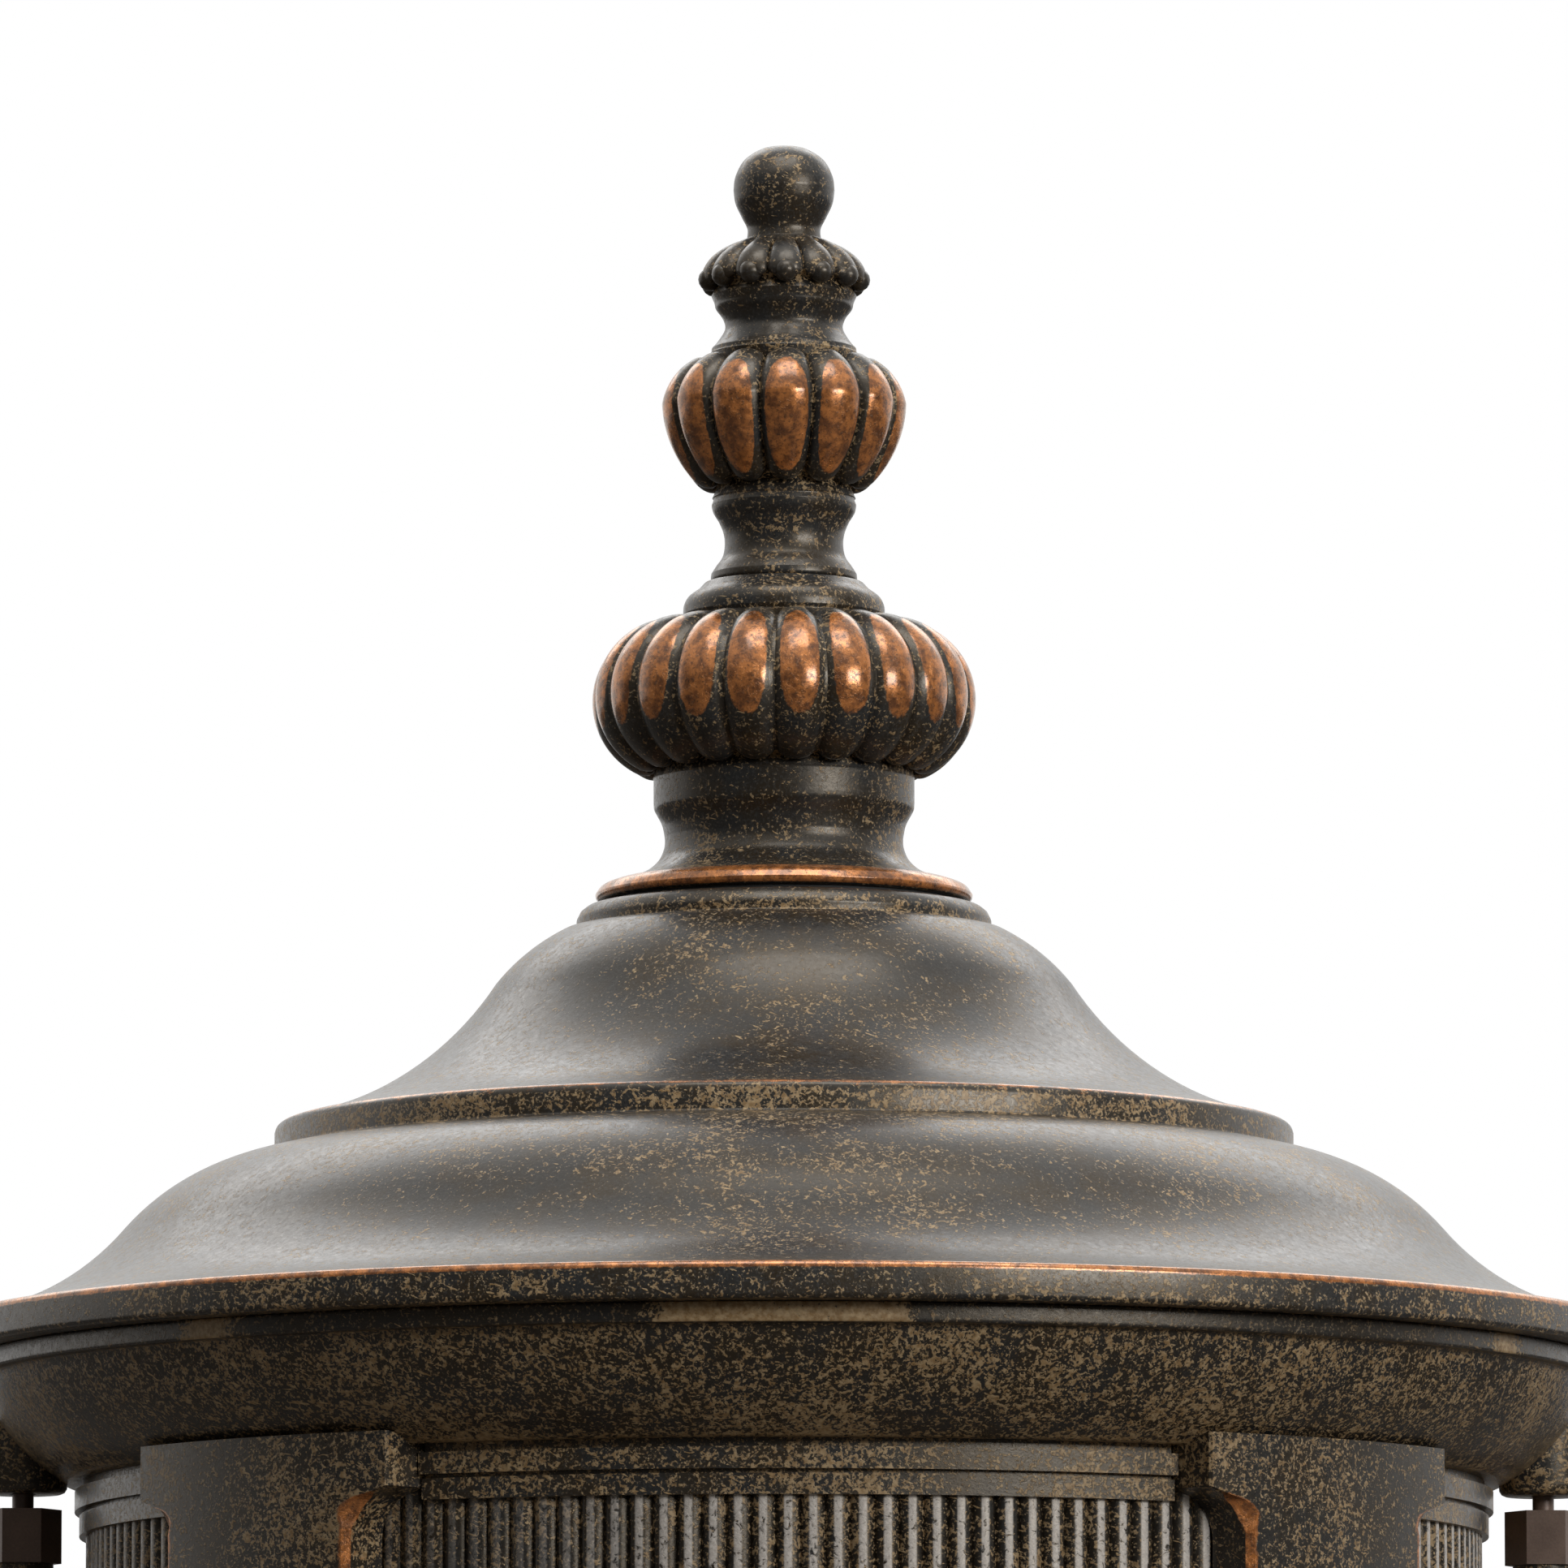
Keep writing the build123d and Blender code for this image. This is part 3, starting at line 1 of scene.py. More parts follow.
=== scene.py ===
# %% [markdown]
# # A round wall lantern
# The photograph shows the top of a cast lantern: a stacked finial, a roof of two bells, the
# crown ring under it and the first millimetres of its reeded window frieze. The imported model
# gives every piece its place and size, so this script only adds what a casting model leaves
# out: carved lobes, softened edges, hand-painted finishes, light and a camera.

# %% Load the frame
import json
from math import asin, atan2, ceil, cos, degrees, hypot, pi, radians, sin, sqrt

import bpy
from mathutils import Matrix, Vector


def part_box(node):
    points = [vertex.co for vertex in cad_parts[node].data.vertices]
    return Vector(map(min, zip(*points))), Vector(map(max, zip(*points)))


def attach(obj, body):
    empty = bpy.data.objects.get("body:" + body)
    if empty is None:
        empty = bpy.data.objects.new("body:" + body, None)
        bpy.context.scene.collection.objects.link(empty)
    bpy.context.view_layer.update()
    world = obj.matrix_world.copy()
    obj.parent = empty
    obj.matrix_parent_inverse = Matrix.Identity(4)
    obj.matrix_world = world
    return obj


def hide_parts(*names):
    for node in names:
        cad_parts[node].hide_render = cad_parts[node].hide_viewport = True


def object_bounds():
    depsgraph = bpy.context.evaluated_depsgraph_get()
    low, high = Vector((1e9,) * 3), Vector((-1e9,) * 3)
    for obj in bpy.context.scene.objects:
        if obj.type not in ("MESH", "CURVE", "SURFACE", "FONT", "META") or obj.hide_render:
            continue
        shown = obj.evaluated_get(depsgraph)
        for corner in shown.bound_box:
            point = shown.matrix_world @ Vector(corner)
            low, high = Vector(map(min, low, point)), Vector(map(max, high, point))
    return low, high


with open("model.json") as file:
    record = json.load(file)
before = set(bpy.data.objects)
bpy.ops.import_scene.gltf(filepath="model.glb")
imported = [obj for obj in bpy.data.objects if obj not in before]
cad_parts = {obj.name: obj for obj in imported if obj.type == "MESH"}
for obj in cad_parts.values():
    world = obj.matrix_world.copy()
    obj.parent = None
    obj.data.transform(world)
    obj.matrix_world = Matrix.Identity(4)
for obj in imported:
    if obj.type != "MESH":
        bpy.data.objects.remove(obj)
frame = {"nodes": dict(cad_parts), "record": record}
nodes = frame["nodes"]
cad_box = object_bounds()

# %% [markdown]
# ## The camera
# The lantern hangs above the photographer's eye, so the lens looks up by a few degrees and
# the round bands bend. The bend of the rim line against that of the finial's flange gives the
# pitch, and a long lens keeps the near and far sides of the roof alike in size. The window
# between two pilasters sits a little right of the finial, so the lens also stands a little
# left of the middle.

# %% Camera
MM = 0.001
roof_low, roof_high = (Vector(corner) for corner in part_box("roof"))
AXIS_Y = (roof_low.y + roof_high.y) / 2
PITCH = 0.1164
HEADING = 0.0227
DISTANCE = 2.063
FOCAL_PIXELS = 17000
FRAME_PIXELS = 1932
target = Vector((0, AXIS_Y, roof_low.z + 0.087))

camera_data = bpy.data.cameras.new("camera")
camera_data.sensor_width = 36
camera_data.lens = camera_data.sensor_width * FOCAL_PIXELS / FRAME_PIXELS
camera_data.clip_end = 50
camera = bpy.data.objects.new("camera", camera_data)
bpy.context.scene.collection.objects.link(camera)
ahead = Vector((sin(HEADING) * cos(PITCH), cos(HEADING) * cos(PITCH), sin(PITCH)))
camera.location = target - DISTANCE * ahead
camera.rotation_euler = (pi / 2 + PITCH, 0, -HEADING)
bpy.context.scene.camera = camera
print("lens", round(camera_data.lens, 1), "mm at", [round(v, 3) for v in camera.location])

# %% [markdown]
# ## Finishes as sums
# A painted finish is a sum of layers, and it reads best as one. The small class below wraps a
# socket so that Python's own operators add Math nodes, and one method adds any other node.


# %% Sockets that add up
class Value:
    def __init__(self, tree, socket):
        self.tree = tree
        self.socket = socket

    def math(self, operation, *operands, clamp=False):
        node = self.tree.nodes.new("ShaderNodeMath")
        node.operation = operation
        node.use_clamp = clamp
        for index, operand in enumerate(operands):
            plug(self.tree, node.inputs[index], operand)
        return Value(self.tree, node.outputs[0])

    def __add__(self, other):
        return self.math("ADD", self, other)

    def __sub__(self, other):
        return self.math("SUBTRACT", self, other)

    def __rsub__(self, other):
        return self.math("SUBTRACT", other, self)

    def __mul__(self, other):
        return self.math("MULTIPLY", self, other)

    def __truediv__(self, other):
        return self.math("DIVIDE", self, other)

    __radd__ = __add__
    __rmul__ = __mul__

    def clamp(self):
        return self.math("ADD", self, 0.0, clamp=True)

    def largest(self, other):
        return self.math("MAXIMUM", self, other)

    def ramp(self, low, high):
        # 0 below low, 1 above high and smooth between, or the reverse where low is higher
        node = self.tree.nodes.new("ShaderNodeMapRange")
        node.interpolation_type = "SMOOTHSTEP"
        plug(self.tree, node.inputs["Value"], self)
        plug(self.tree, node.inputs["From Min"], min(low, high))
        plug(self.tree, node.inputs["From Max"], max(low, high))
        plug(self.tree, node.inputs["To Min"], 0.0 if low < high else 1.0)
        plug(self.tree, node.inputs["To Max"], 1.0 if low < high else 0.0)
        return Value(self.tree, node.outputs["Result"])


def plug(tree, target_socket, value):
    if isinstance(value, Value):
        tree.links.new(value.socket, target_socket)
    elif hasattr(value, "__len__") and len(value) == 3 and len(target_socket.default_value) == 4:
        target_socket.default_value = (*value, 1.0)
    else:
        target_socket.default_value = value


class Finish:
    # A material whose nodes are added in code, measured in millimetres of the object
    def __init__(self, name):
        self.material = bpy.data.materials.new(name)
        self.material.use_nodes = True
        self.tree = self.material.node_tree
        self.tree.nodes.clear()
        coordinates = self.add("ShaderNodeTexCoord", "Object")
        in_mm = {0: coordinates, "Scale": 1 / MM}
        self.where = self.add("ShaderNodeVectorMath", "Vector", {"operation": "SCALE"}, in_mm)

    def add(self, kind, output, settings=None, inputs=None):
        node = self.tree.nodes.new(kind)
        for key, value in (settings or {}).items():
            setattr(node, key, value)
        for key, value in (inputs or {}).items():
            plug(self.tree, node.inputs[key], value)
        return Value(self.tree, node.outputs[output])

    def noise(self, size, detail=3.0, roughness=0.55, where=None, distortion=0.0):
        # Cloudy noise whose largest spots are about size millimetres
        inputs = {
            "Vector": where or self.where,
            "Scale": 1.0 / size,
            "Detail": detail,
            "Roughness": roughness,
            "Distortion": distortion,
        }
        return self.add("ShaderNodeTexNoise", "Fac", {}, inputs)

    def turned(self, angles, scale):
        # The place, turned and then stretched, for strokes that run one way
        rotated = self.add(
            "ShaderNodeVectorRotate",
            "Vector",
            {"rotation_type": "EULER_XYZ"},
            {"Vector": self.where, "Rotation": angles},
        )
        return self.add(
            "ShaderNodeVectorMath", "Vector", {"operation": "MULTIPLY"}, {0: rotated, 1: scale}
        )

    def painted(self, name):
        # A value that the piece's mesh carries at each of its points
        return self.add("ShaderNodeAttribute", "Fac", {"attribute_name": name})

    def blend(self, factor, first, second):
        node = self.tree.nodes.new("ShaderNodeMix")
        node.data_type = "RGBA"
        plug(self.tree, node.inputs["Factor"], factor)
        plug(self.tree, node.inputs[6], first)
        plug(self.tree, node.inputs[7], second)
        return Value(self.tree, node.outputs[2])

    def bump(self, height, depth, strength=1.0):
        # Height from 0 to 1 as a relief of depth millimetres
        inputs = {"Height": height, "Distance": depth * MM, "Strength": strength}
        return self.add("ShaderNodeBump", "Normal", {}, inputs)

    def shade(self, **inputs):
        names = {key: key.replace("_", " ") for key in inputs}
        values = {names[key]: value for key, value in inputs.items()}
        surface = self.add("ShaderNodeBsdfPrincipled", "BSDF", {}, values)
        output = self.tree.nodes.new("ShaderNodeOutputMaterial")
        self.tree.links.new(surface.socket, output.inputs["Surface"])
        return self.material


# %% [markdown]
# ## Aged bronze paint
# The castings are sprayed near black, sponged and flicked with tan-gold, and then brushed
# with copper on the faces of the lobes and on proud edges. Specks, strokes and worn copper are
# three thresholds on noise of different sizes. The meshes carry three painted values: copper,
# where the brush went, dust, where more or less gold was sponged, and hollow and shade: in the
# grooves the black stays deep and the gold sits in crumbs, and there and on the faces under the
# roof's rim the black is darkened further as painted shade.

# %% Bronze
CHARCOAL = (0.016, 0.018, 0.020)
UMBER = (0.022, 0.015, 0.008)
TAN = (0.24, 0.145, 0.060)
PALE_TAN = (0.42, 0.30, 0.165)
COPPER = (0.62, 0.225, 0.060)
DARK_COPPER = (0.17, 0.060, 0.021)


def bronze(name, crest=None):
    finish = Finish(name)
    dust = finish.painted("dust")
    brushed = finish.painted("copper")
    hollow_and_shade = finish.painted("hollow_and_shade")

    patches = finish.noise(17, 2.0)
    grain = finish.noise(1.05, 5.0, 0.66, distortion=0.8)
    fine = finish.noise(0.42, 2.0, 0.5)
    strokes = finish.noise(0.55, 2.0, 0.5, where=finish.turned((0.5, 0.9, 0.6), (1.0, 0.15, 1.0)))
    cross = finish.noise(0.55, 2.0, 0.5, where=finish.turned((-0.7, 0.3, 2.1), (1.0, 0.15, 1.0)))
    steep = finish.noise(0.55, 2.0, 0.5, where=finish.turned((1.5, -0.4, 1.2), (1.0, 0.15, 1.0)))

    bias = (patches - 0.5) * 0.20 + dust * 0.15 + (0.045 if crest else 0.0)
    specks = (grain * 0.66 + fine * 0.34 + bias).ramp(0.545, 0.605)
    flicks = (strokes.largest(cross).largest(steep) + bias * 0.7).ramp(0.70, 0.735)
    crumbs = (grain * 0.5 + fine * 0.5 + hollow_and_shade * 0.10).ramp(0.585, 0.61) * hollow_and_shade
    gold = (specks * 0.85).largest(flicks).largest(crumbs)

    ground = finish.blend(finish.noise(7, 3.0).ramp(0.35, 0.65), CHARCOAL, UMBER)
    ground = finish.blend(fine.ramp(0.50, 0.62) * (1 - hollow_and_shade) * 0.5, ground, (0.045, 0.046, 0.046))
    # Painted shade: grooves and faces under the roof's rim darkened nearly to black
    ground = finish.blend(hollow_and_shade * 0.8, ground, (0.003, 0.003, 0.003))
    tan = finish.blend(finish.noise(0.8, 2.0).ramp(0.3, 0.7), TAN, PALE_TAN)
    colour = finish.blend(gold, ground, tan)

    ragged = (grain - 0.5) * 0.75 + (finish.noise(2.6, 3.0) - 0.5) * 0.55
    worn = (brushed + ragged).ramp(0.40, 0.66)
    copper = finish.blend(finish.noise(1.9, 4.0, 0.65).ramp(0.34, 0.66), DARK_COPPER, COPPER)
    copper = finish.blend(fine.ramp(0.56, 0.66) * 0.55, copper, (0.03, 0.016, 0.009))
    colour = finish.blend(worn * 0.93, colour, copper)

    if crest:
        # On the reeded bands, silver on the crests, partly rubbed paint and partly a painted highlight, and black
        # between them, darkened further as painted shade in the grooves
        parts = finish.tree.nodes.new("ShaderNodeSeparateXYZ")
        plug(finish.tree, parts.inputs[0], finish.where)
        across = Value(finish.tree, parts.outputs["X"])
        along = Value(finish.tree, parts.outputs["Y"]) - AXIS_Y / MM
        reach = across.math("SQRT", across * across + along * along)
        # Painted shade: below the crest the black grows darker, nearly black in the grooves between reeds
        depth = reach.ramp(crest - 0.02, crest - 0.45)
        colour = finish.blend(depth * 0.92 * (1 - gold), colour, (0.003, 0.002, 0.001))
        # Painted highlight on the crests, partly rubbed paint; stronger towards the right, where the light falls
        rubbed_and_highlight = reach.ramp(crest - 0.13, crest - 0.03) * reach.ramp(crest + 0.2, crest + 0.1)
        rubbed_and_highlight = rubbed_and_highlight * grain.ramp(0.34, 0.48) * (0.2 + across.ramp(-42, -14) * 0.8)
        silver_and_highlight = finish.blend(fine, (0.34, 0.30, 0.26), (0.72, 0.68, 0.63))
        colour = finish.blend(rubbed_and_highlight, colour, silver_and_highlight)

    relief = grain * 0.45 + fine * 0.2 + gold * 0.35
    rough = 0.35 + (grain - 0.5) * 0.5 + gold * 0.12 - worn * 0.10
    return finish.shade(
        Base_Color=colour,
        Roughness=rough.clamp(),
        Metallic=worn * 0.42,
        IOR=1.55,
        Specular_Tint=(1.0, 0.86, 0.68),
        Coat_Weight=0.12 + worn * 0.5,
        Coat_Roughness=0.16,
        Normal=finish.bump(relief, 0.09, 0.8),
    )


bronze_paint = bronze("aged_bronze")
reed_paint = bronze("aged_bronze_reeds", 103.6)
print("finishes", bronze_paint.name, reed_paint.name)

# %% [markdown]
# ## Turned pieces
# A lathe turns a profile round the lantern's axis. The profiles are written as they would be
# drawn for a turner, in millimetres: straight lines and arcs, each corner then eased by a
# fraction of a millimetre, because a casting has no knife edges and the eased edge is what
# catches the light.


# %% Profiles and the lathe
class Profile:
    # A chain of (radius, height) points in mm, each with its copper and dust
    def __init__(self, radius, height, copper=0.0, dust=0.0):
        self.points = [(radius, height, copper, dust)]
        self.zones = []

    def line(self, radius, height, copper=0.0, dust=0.0):
        self.points.append((radius, height, copper, dust))
        return self

    def arc(self, radius, height, bend, copper=0.0, dust=0.0, step=0.9):
        # A positive bend bulges to the left of the way drawn
        r0, z0 = self.points[-1][:2]
        chord = hypot(radius - r0, height - z0)
        half = asin(min(1.0, chord / 2 / abs(bend)))
        count = max(4, ceil(2 * half * abs(bend) / step))
        side = 1 if bend > 0 else -1
        heading = atan2(height - z0, radius - r0)
        middle_r = (r0 + radius) / 2 + side * abs(bend) * cos(half) * sin(heading)
        middle_z = (z0 + height) / 2 - side * abs(bend) * cos(half) * cos(heading)
        start = atan2(z0 - middle_z, r0 - middle_r)
        for index in range(1, count + 1):
            angle = start - side * 2 * half * index / count
            self.points.append(
                (
                    middle_r + abs(bend) * cos(angle),
                    middle_z + abs(bend) * sin(angle),
                    copper,
                    dust,
                )
            )
        return self

    def curve(self, *points, copper=0.0, dust=0.0, steps=6):
        # A smooth curve through points, as a turner sweeps a cove
        chain = [self.points[-1][:2], *points]
        padded = [chain[0], *chain, chain[-1]]
        for index in range(1, len(padded) - 2):
            a, b, c, d = padded[index - 1 : index + 3]
            for part in range(1, steps + 1):
                t = part / steps
                place = [
                    0.5
                    * (
                        2 * b[k]
                        + (c[k] - a[k]) * t
                        + (2 * a[k] - 5 * b[k] + 4 * c[k] - d[k]) * t**2
                        + (3 * b[k] - a[k] - 3 * c[k] + d[k]) * t**3
                    )
                    for k in (0, 1)
                ]
                self.points.append((*place, copper, dust))
        return self

    def mark(self):
        return len(self.points) - 1

    def lobed(
        self, start, end, count, depth, turn=0.0, copper=0.0, ends=(0.1, 0.1), patch=(0.2, 0.8)
    ):
        # Carved lobes between two marks, with rounded ends and copper on their faces
        self.zones.append((start, end, count, depth, turn, copper, ends, patch))
        return self

    def eased(self, size):
        # Corners sharper than about 25 degrees become small curves
        source = self.points
        result = [source[0]]
        moved = {0: 0}
        for index in range(1, len(source) - 1):
            before, here, after = source[index - 1], source[index], source[index + 1]
            back = hypot(here[0] - before[0], here[1] - before[1])
            ahead = hypot(after[0] - here[0], after[1] - here[1])
            leaving = atan2(after[1] - here[1], after[0] - here[0])
            arriving = atan2(here[1] - before[1], here[0] - before[0])
            turn = abs((leaving - arriving + pi) % (2 * pi) - pi)
            if turn < radians(25) or min(back, ahead) < 0.05 or here[0] < 0.05:
                result.append(here)
            else:
                first = min(size, back * 0.4)
                second = min(size, ahead * 0.4)
                a = [here[k] + (before[k] - here[k]) * first / back for k in (0, 1)]
                b = [here[k] + (after[k] - here[k]) * second / ahead for k in (0, 1)]
                for part in range(5):
                    t = part / 4
                    place = [
                        (1 - t) ** 2 * a[k] + 2 * t * (1 - t) * here[k] + t**2 * b[k]
                        for k in (0, 1)
                    ]
                    result.append((*place, here[2], here[3]))
            moved[index] = len(result) - 1
        result.append(source[-1])
        moved[len(source) - 1] = len(result) - 1
        eased = Profile(*source[0])
        eased.points = result
        eased.zones = [(moved[zone[0]], moved[zone[1]], *zone[2:]) for zone in self.zones]
        return eased


def smoothstep(value, low, high):
    t = max(0.0, min(1.0, (value - low) / (high - low)))
    return t * t * (3 - 2 * t)


def piece_from(name, vertices, faces, finish, body, layers, crease=38):
    mesh = bpy.data.meshes.new(name)
    mesh.from_pydata([[v * MM for v in vertex] for vertex in vertices], [], faces)
    mesh.update()
    for label, values in layers.items():
        layer = mesh.attributes.new(label, "FLOAT", "POINT")
        layer.data.foreach_set("value", values)
    mesh.polygons.foreach_set("use_smooth", [True] * len(mesh.polygons))
    mesh.set_sharp_from_angle(angle=radians(crease))
    piece = bpy.data.objects.new(name, mesh)
    bpy.context.scene.collection.objects.link(piece)
    mesh.materials.append(finish)
    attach(piece, body)
    return piece


class Skin:
    # Points, faces and painted values of one mesh while it is being made
    def __init__(self):
        self.vertices = []
        self.faces = []
        self.layers = {"copper": [], "dust": [], "hollow_and_shade": []}

    def point(self, place, copper=0.0, dust=0.0, hollow_and_shade=0.0):
        self.vertices.append(place)
        for label, value in (("copper", copper), ("dust", dust), ("hollow_and_shade", hollow_and_shade)):
            self.layers[label].append(value)
        return len(self.vertices) - 1

    def band(self, low, high):
        # Faces between two rings, either of which may be a single point
        count = max(len(low), len(high))
        for segment in range(count):
            following = (segment + 1) % count
            if len(low) == 1:
                self.faces.append((low[0], high[following], high[segment]))
            elif len(high) == 1:
                self.faces.append((low[segment], low[following], high[0]))
            else:
                self.faces.append((low[segment], low[following], high[following], high[segment]))


def carved(zone, t, angle):
    # How far a lobed zone sinks here, its copper and how deep in a groove the point is
    start, end, lobes, depth, turn, amount, ends, patch = zone
    u = ((angle / (2 * pi) * lobes + turn) % 1.0) * 2 - 1
    close = max(0.0, 1 - t / ends[0]) if ends[0] else 0.0
    far = max(0.0, 1 - (1 - t) / ends[1]) if ends[1] else 0.0
    fullness = sqrt(max(0.0, 1 - 0.97 * u * u - close**2 - far**2))
    middle = (patch[0] + patch[1]) / 2
    half = (patch[1] - patch[0]) / 2
    spread = (abs(u) / 0.80) ** 2.4 + (abs(t - middle) / half) ** 2.6
    return depth * (1 - fullness), amount * (1 - smoothstep(spread, 0.62, 1.25)), 1 - fullness


def turned(name, profile, foot, segments, body, closed=False, extra=None, paint=None, shade=0.0):
    # Turns a profile, carving its lobed zones, about the lantern's axis at height foot in mm
    profile = profile.eased(0.35)
    outline = profile.points
    count = len(outline)
    skin = Skin()
    rings = []
    for index, (radius, height, tint, powder) in enumerate(outline):
        before = outline[max(0, index - 1)]
        after = outline[min(count - 1, index + 1)]
        run = max(hypot(after[0] - before[0], after[1] - before[1]), 1e-9)
        normal = ((after[1] - before[1]) / run, -(after[0] - before[0]) / run)
        zone = next((z for z in profile.zones if z[0] <= index <= z[1]), None)
        if radius < 1e-6:
            rings.append([skin.point((0, AXIS_Y / MM, foot + height), tint, powder)])
            continue
        ring = []
        for segment in range(segments):
            angle = 2 * pi * segment / segments
            r, z, c, d, h = radius, height, tint, powder, shade
            if zone:
                t = (index - zone[0]) / (zone[1] - zone[0])
                drop, brushed, sunk = carved(zone, t, angle)
                r -= normal[0] * drop
                z -= normal[1] * drop
                c = max(c, brushed)
                # Painted shade: the piece's own level of shade, deeper in the grooves of its lobes
                h = max(shade, smoothstep(sunk, 0.42, 0.86))
            if paint:
                extra_copper, extra_dust = paint(angle, radius, height)
                c += extra_copper
                d += extra_dust
            place = (r * cos(angle), AXIS_Y / MM + r * sin(angle), foot + z)
            ring.append(skin.point(place, c, d, h))
        rings.append(ring)
    for low, high in zip(rings, rings[1:]):
        skin.band(low, high)
    if closed:
        skin.band(rings[-1], rings[0])
    if extra:
        extra(skin)
    piece = piece_from(
        name, skin.vertices, skin.faces, bronze_paint, body, skin.layers
    )
    print(name, len(skin.vertices), "points")
    return piece


def foot_of(node):
    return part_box(node)[0][2] / MM


# %% [markdown]
# ## Upper finial
# Ball, petal ring, neck, gadrooned vase and turned foot are one casting. Its lobes are carved
# in the lathe by sinking the surface between them, so each lobe keeps a round face and a
# narrow groove, and closes in a rounded tip at both ends. Every petal ends in a small bead.

# %% Upper finial
LOBES = 13
VASE_TURN = 0.75
upper = Profile(3.25, 0).line(10.6, 0, dust=0.05).line(11.0, 0.4, dust=0.05)
upper.line(10.9, 1.3, dust=0.0)
upper.curve((10.2, 2.4), (9.2, 3.9), (8.88, 5.8), (9.1, 7.6), (9.8, 9.3), dust=0.05)
upper.curve((10.6, 10.6), (10.85, 11.7), dust=0.0).line(10.5, 12.6, dust=0.2)
vase_start = upper.line(11.1, 13.0, dust=0.2).mark()
upper.arc(18.4, 26.8, -18, step=0.45).arc(11.4, 34.5, -9.5, step=0.4)
vase_end = upper.mark()
upper.line(10.9, 34.7, dust=0.3).line(10.85, 35.4, dust=0.1)
upper.curve((9.9, 36.5), (8.85, 38.4), (9.2, 40.0), (10.2, 41.4), (10.4, 42.1), dust=0.0)
upper.line(10.5, 42.5, dust=0.05).line(10.9, 43.4, dust=0.1)
petal_start = upper.line(11.3, 44.0, dust=0.5).mark()
petal_back = ((12.1, 44.8), (12.45, 46.0), (12.1, 47.5), (11.0, 49.1), (9.2, 50.5), (7.2, 51.5))
upper.curve(*petal_back, dust=0.0)
petal_end = upper.mark()
upper.line(5.6, 52.0, dust=0.0).curve((5.5, 53.6), (6.4, 55.5), (7.3, 57.5), (7.6, 59.5), dust=0.05)
upper.curve((7.3, 61.6), (6.0, 64.0), (3.6, 65.6), (1.4, 66.1), (0, 66.2), dust=0.0)
upper.lobed(
    vase_start, vase_end, LOBES, 2.1, VASE_TURN, copper=1.0, ends=(0.12, 0.10), patch=(0.10, 0.80)
)
upper.lobed(petal_start, petal_end, LOBES, 1.5, VASE_TURN, ends=(0.30, 0.0))


def add_beads(skin, middle_radius=11.25, height=45.7, size=1.75):
    # A bead on the end of each petal
    level = foot_of("upper_finial") + height
    for lobe in range(LOBES):
        angle = 2 * pi * (lobe + 0.5 - VASE_TURN) / LOBES
        middle = Vector((middle_radius * cos(angle), AXIS_Y / MM + middle_radius * sin(angle), 0))
        rings = []
        for step in range(9):
            lift = pi * (step / 8 - 0.5)
            count = 1 if step in (0, 8) else 16
            ring = []
            for segment in range(count):
                turn = 2 * pi * segment / count
                place = (
                    middle.x + size * cos(lift) * cos(turn),
                    middle.y + size * cos(lift) * sin(turn),
                    level + size * sin(lift),
                )
                ring.append(skin.point(place, dust=-0.5))
            rings.append(ring)
        for low, high in zip(rings, rings[1:]):
            skin.band(low, high)


finial_piece = turned(
    "finial_top", upper, foot_of("upper_finial"), LOBES * 20, "top_finial", extra=add_beads
)
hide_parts("upper_finial")

# %% [markdown]
# ## Lower finial
# A cushion of lobes sits on a waisted neck with a wide flange. The flange is rubbed with
# copper all round.

# %% Lower finial
CUSHION_LOBES = 22
CUSHION_TURN = 0.78
lower = Profile(3.7, 0).line(27.4, 0, copper=0.3).line(28.1, 0.5, copper=0.9)
lower.line(28.2, 1.1, copper=0.95)
lower.curve((27.3, 2.3), (25.6, 3.0), copper=0.85).line(25.0, 3.05)
lower.curve((22.6, 3.7), (20.4, 4.7), (18.7, 6.3), (17.9, 8.2), (17.8, 9.6), dust=0.15)
lower.curve((18.2, 11.6), (19.0, 13.2), dust=0.1)
lower.line(19.45, 14.0, dust=0.15).line(19.5, 15.0, dust=0.0)
cushion_start = lower.line(19.5, 18.6, dust=0.05).mark()
lower.arc(16.8, 42.45, -12.1, step=0.42)
cushion_end = lower.mark()
lower.line(14.7, 42.6, dust=0.3).line(15.1, 43.3, dust=0.2)
lower.curve((15.0, 44.7), (14.3, 46.0), (12.8, 47.1), dust=0.15).line(11.8, 48.2).line(3.7, 48.2)
lower.lobed(
    cushion_start,
    cushion_end,
    CUSHION_LOBES,
    1.9,
    CUSHION_TURN,
    copper=0.80,
    ends=(0.08, 0.0),
    patch=(0.30, 0.86),
)
cushion_piece = turned(
    "finial_cushion", lower, foot_of("lower_finial"), CUSHION_LOBES * 16, "roof_lid", closed=True
)
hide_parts("lower_finial")

# %% [markdown]
# ## Roof
# Two bells, each with a convex shoulder and a concave sweep, end in a proud band. The top
# edges of both bands are wiped with copper.

# %% Roof
roof_top = Profile(118.6, 2.0).line(118.6, 0, dust=0.2).line(125.7, 0, dust=0.2)
roof_top.line(126.15, 0.5, dust=0.1).line(126.15, 3.9, dust=0.1).line(126.1, 4.4, copper=0.5)
roof_top.line(126.05, 4.8, copper=1.0).line(125.7, 5.25, copper=1.0).line(125.2, 5.4, copper=0.4)
roof_top.arc(98.3, 19.4, 40, dust=-0.1, step=2.0).arc(76.2, 31.0, -34.5, step=1.6, dust=0.05)
roof_top.line(75.9, 31.2, dust=0.3).line(75.9, 34.2, dust=0.35).line(75.7, 34.9, copper=0.35)
roof_top.line(75.2, 35.4, copper=0.6).line(74.5, 35.6, dust=-0.1)
roof_top.arc(43.1, 56.5, 48, dust=-0.1, step=2.0).arc(33.0, 64.7, -30, step=1.2)
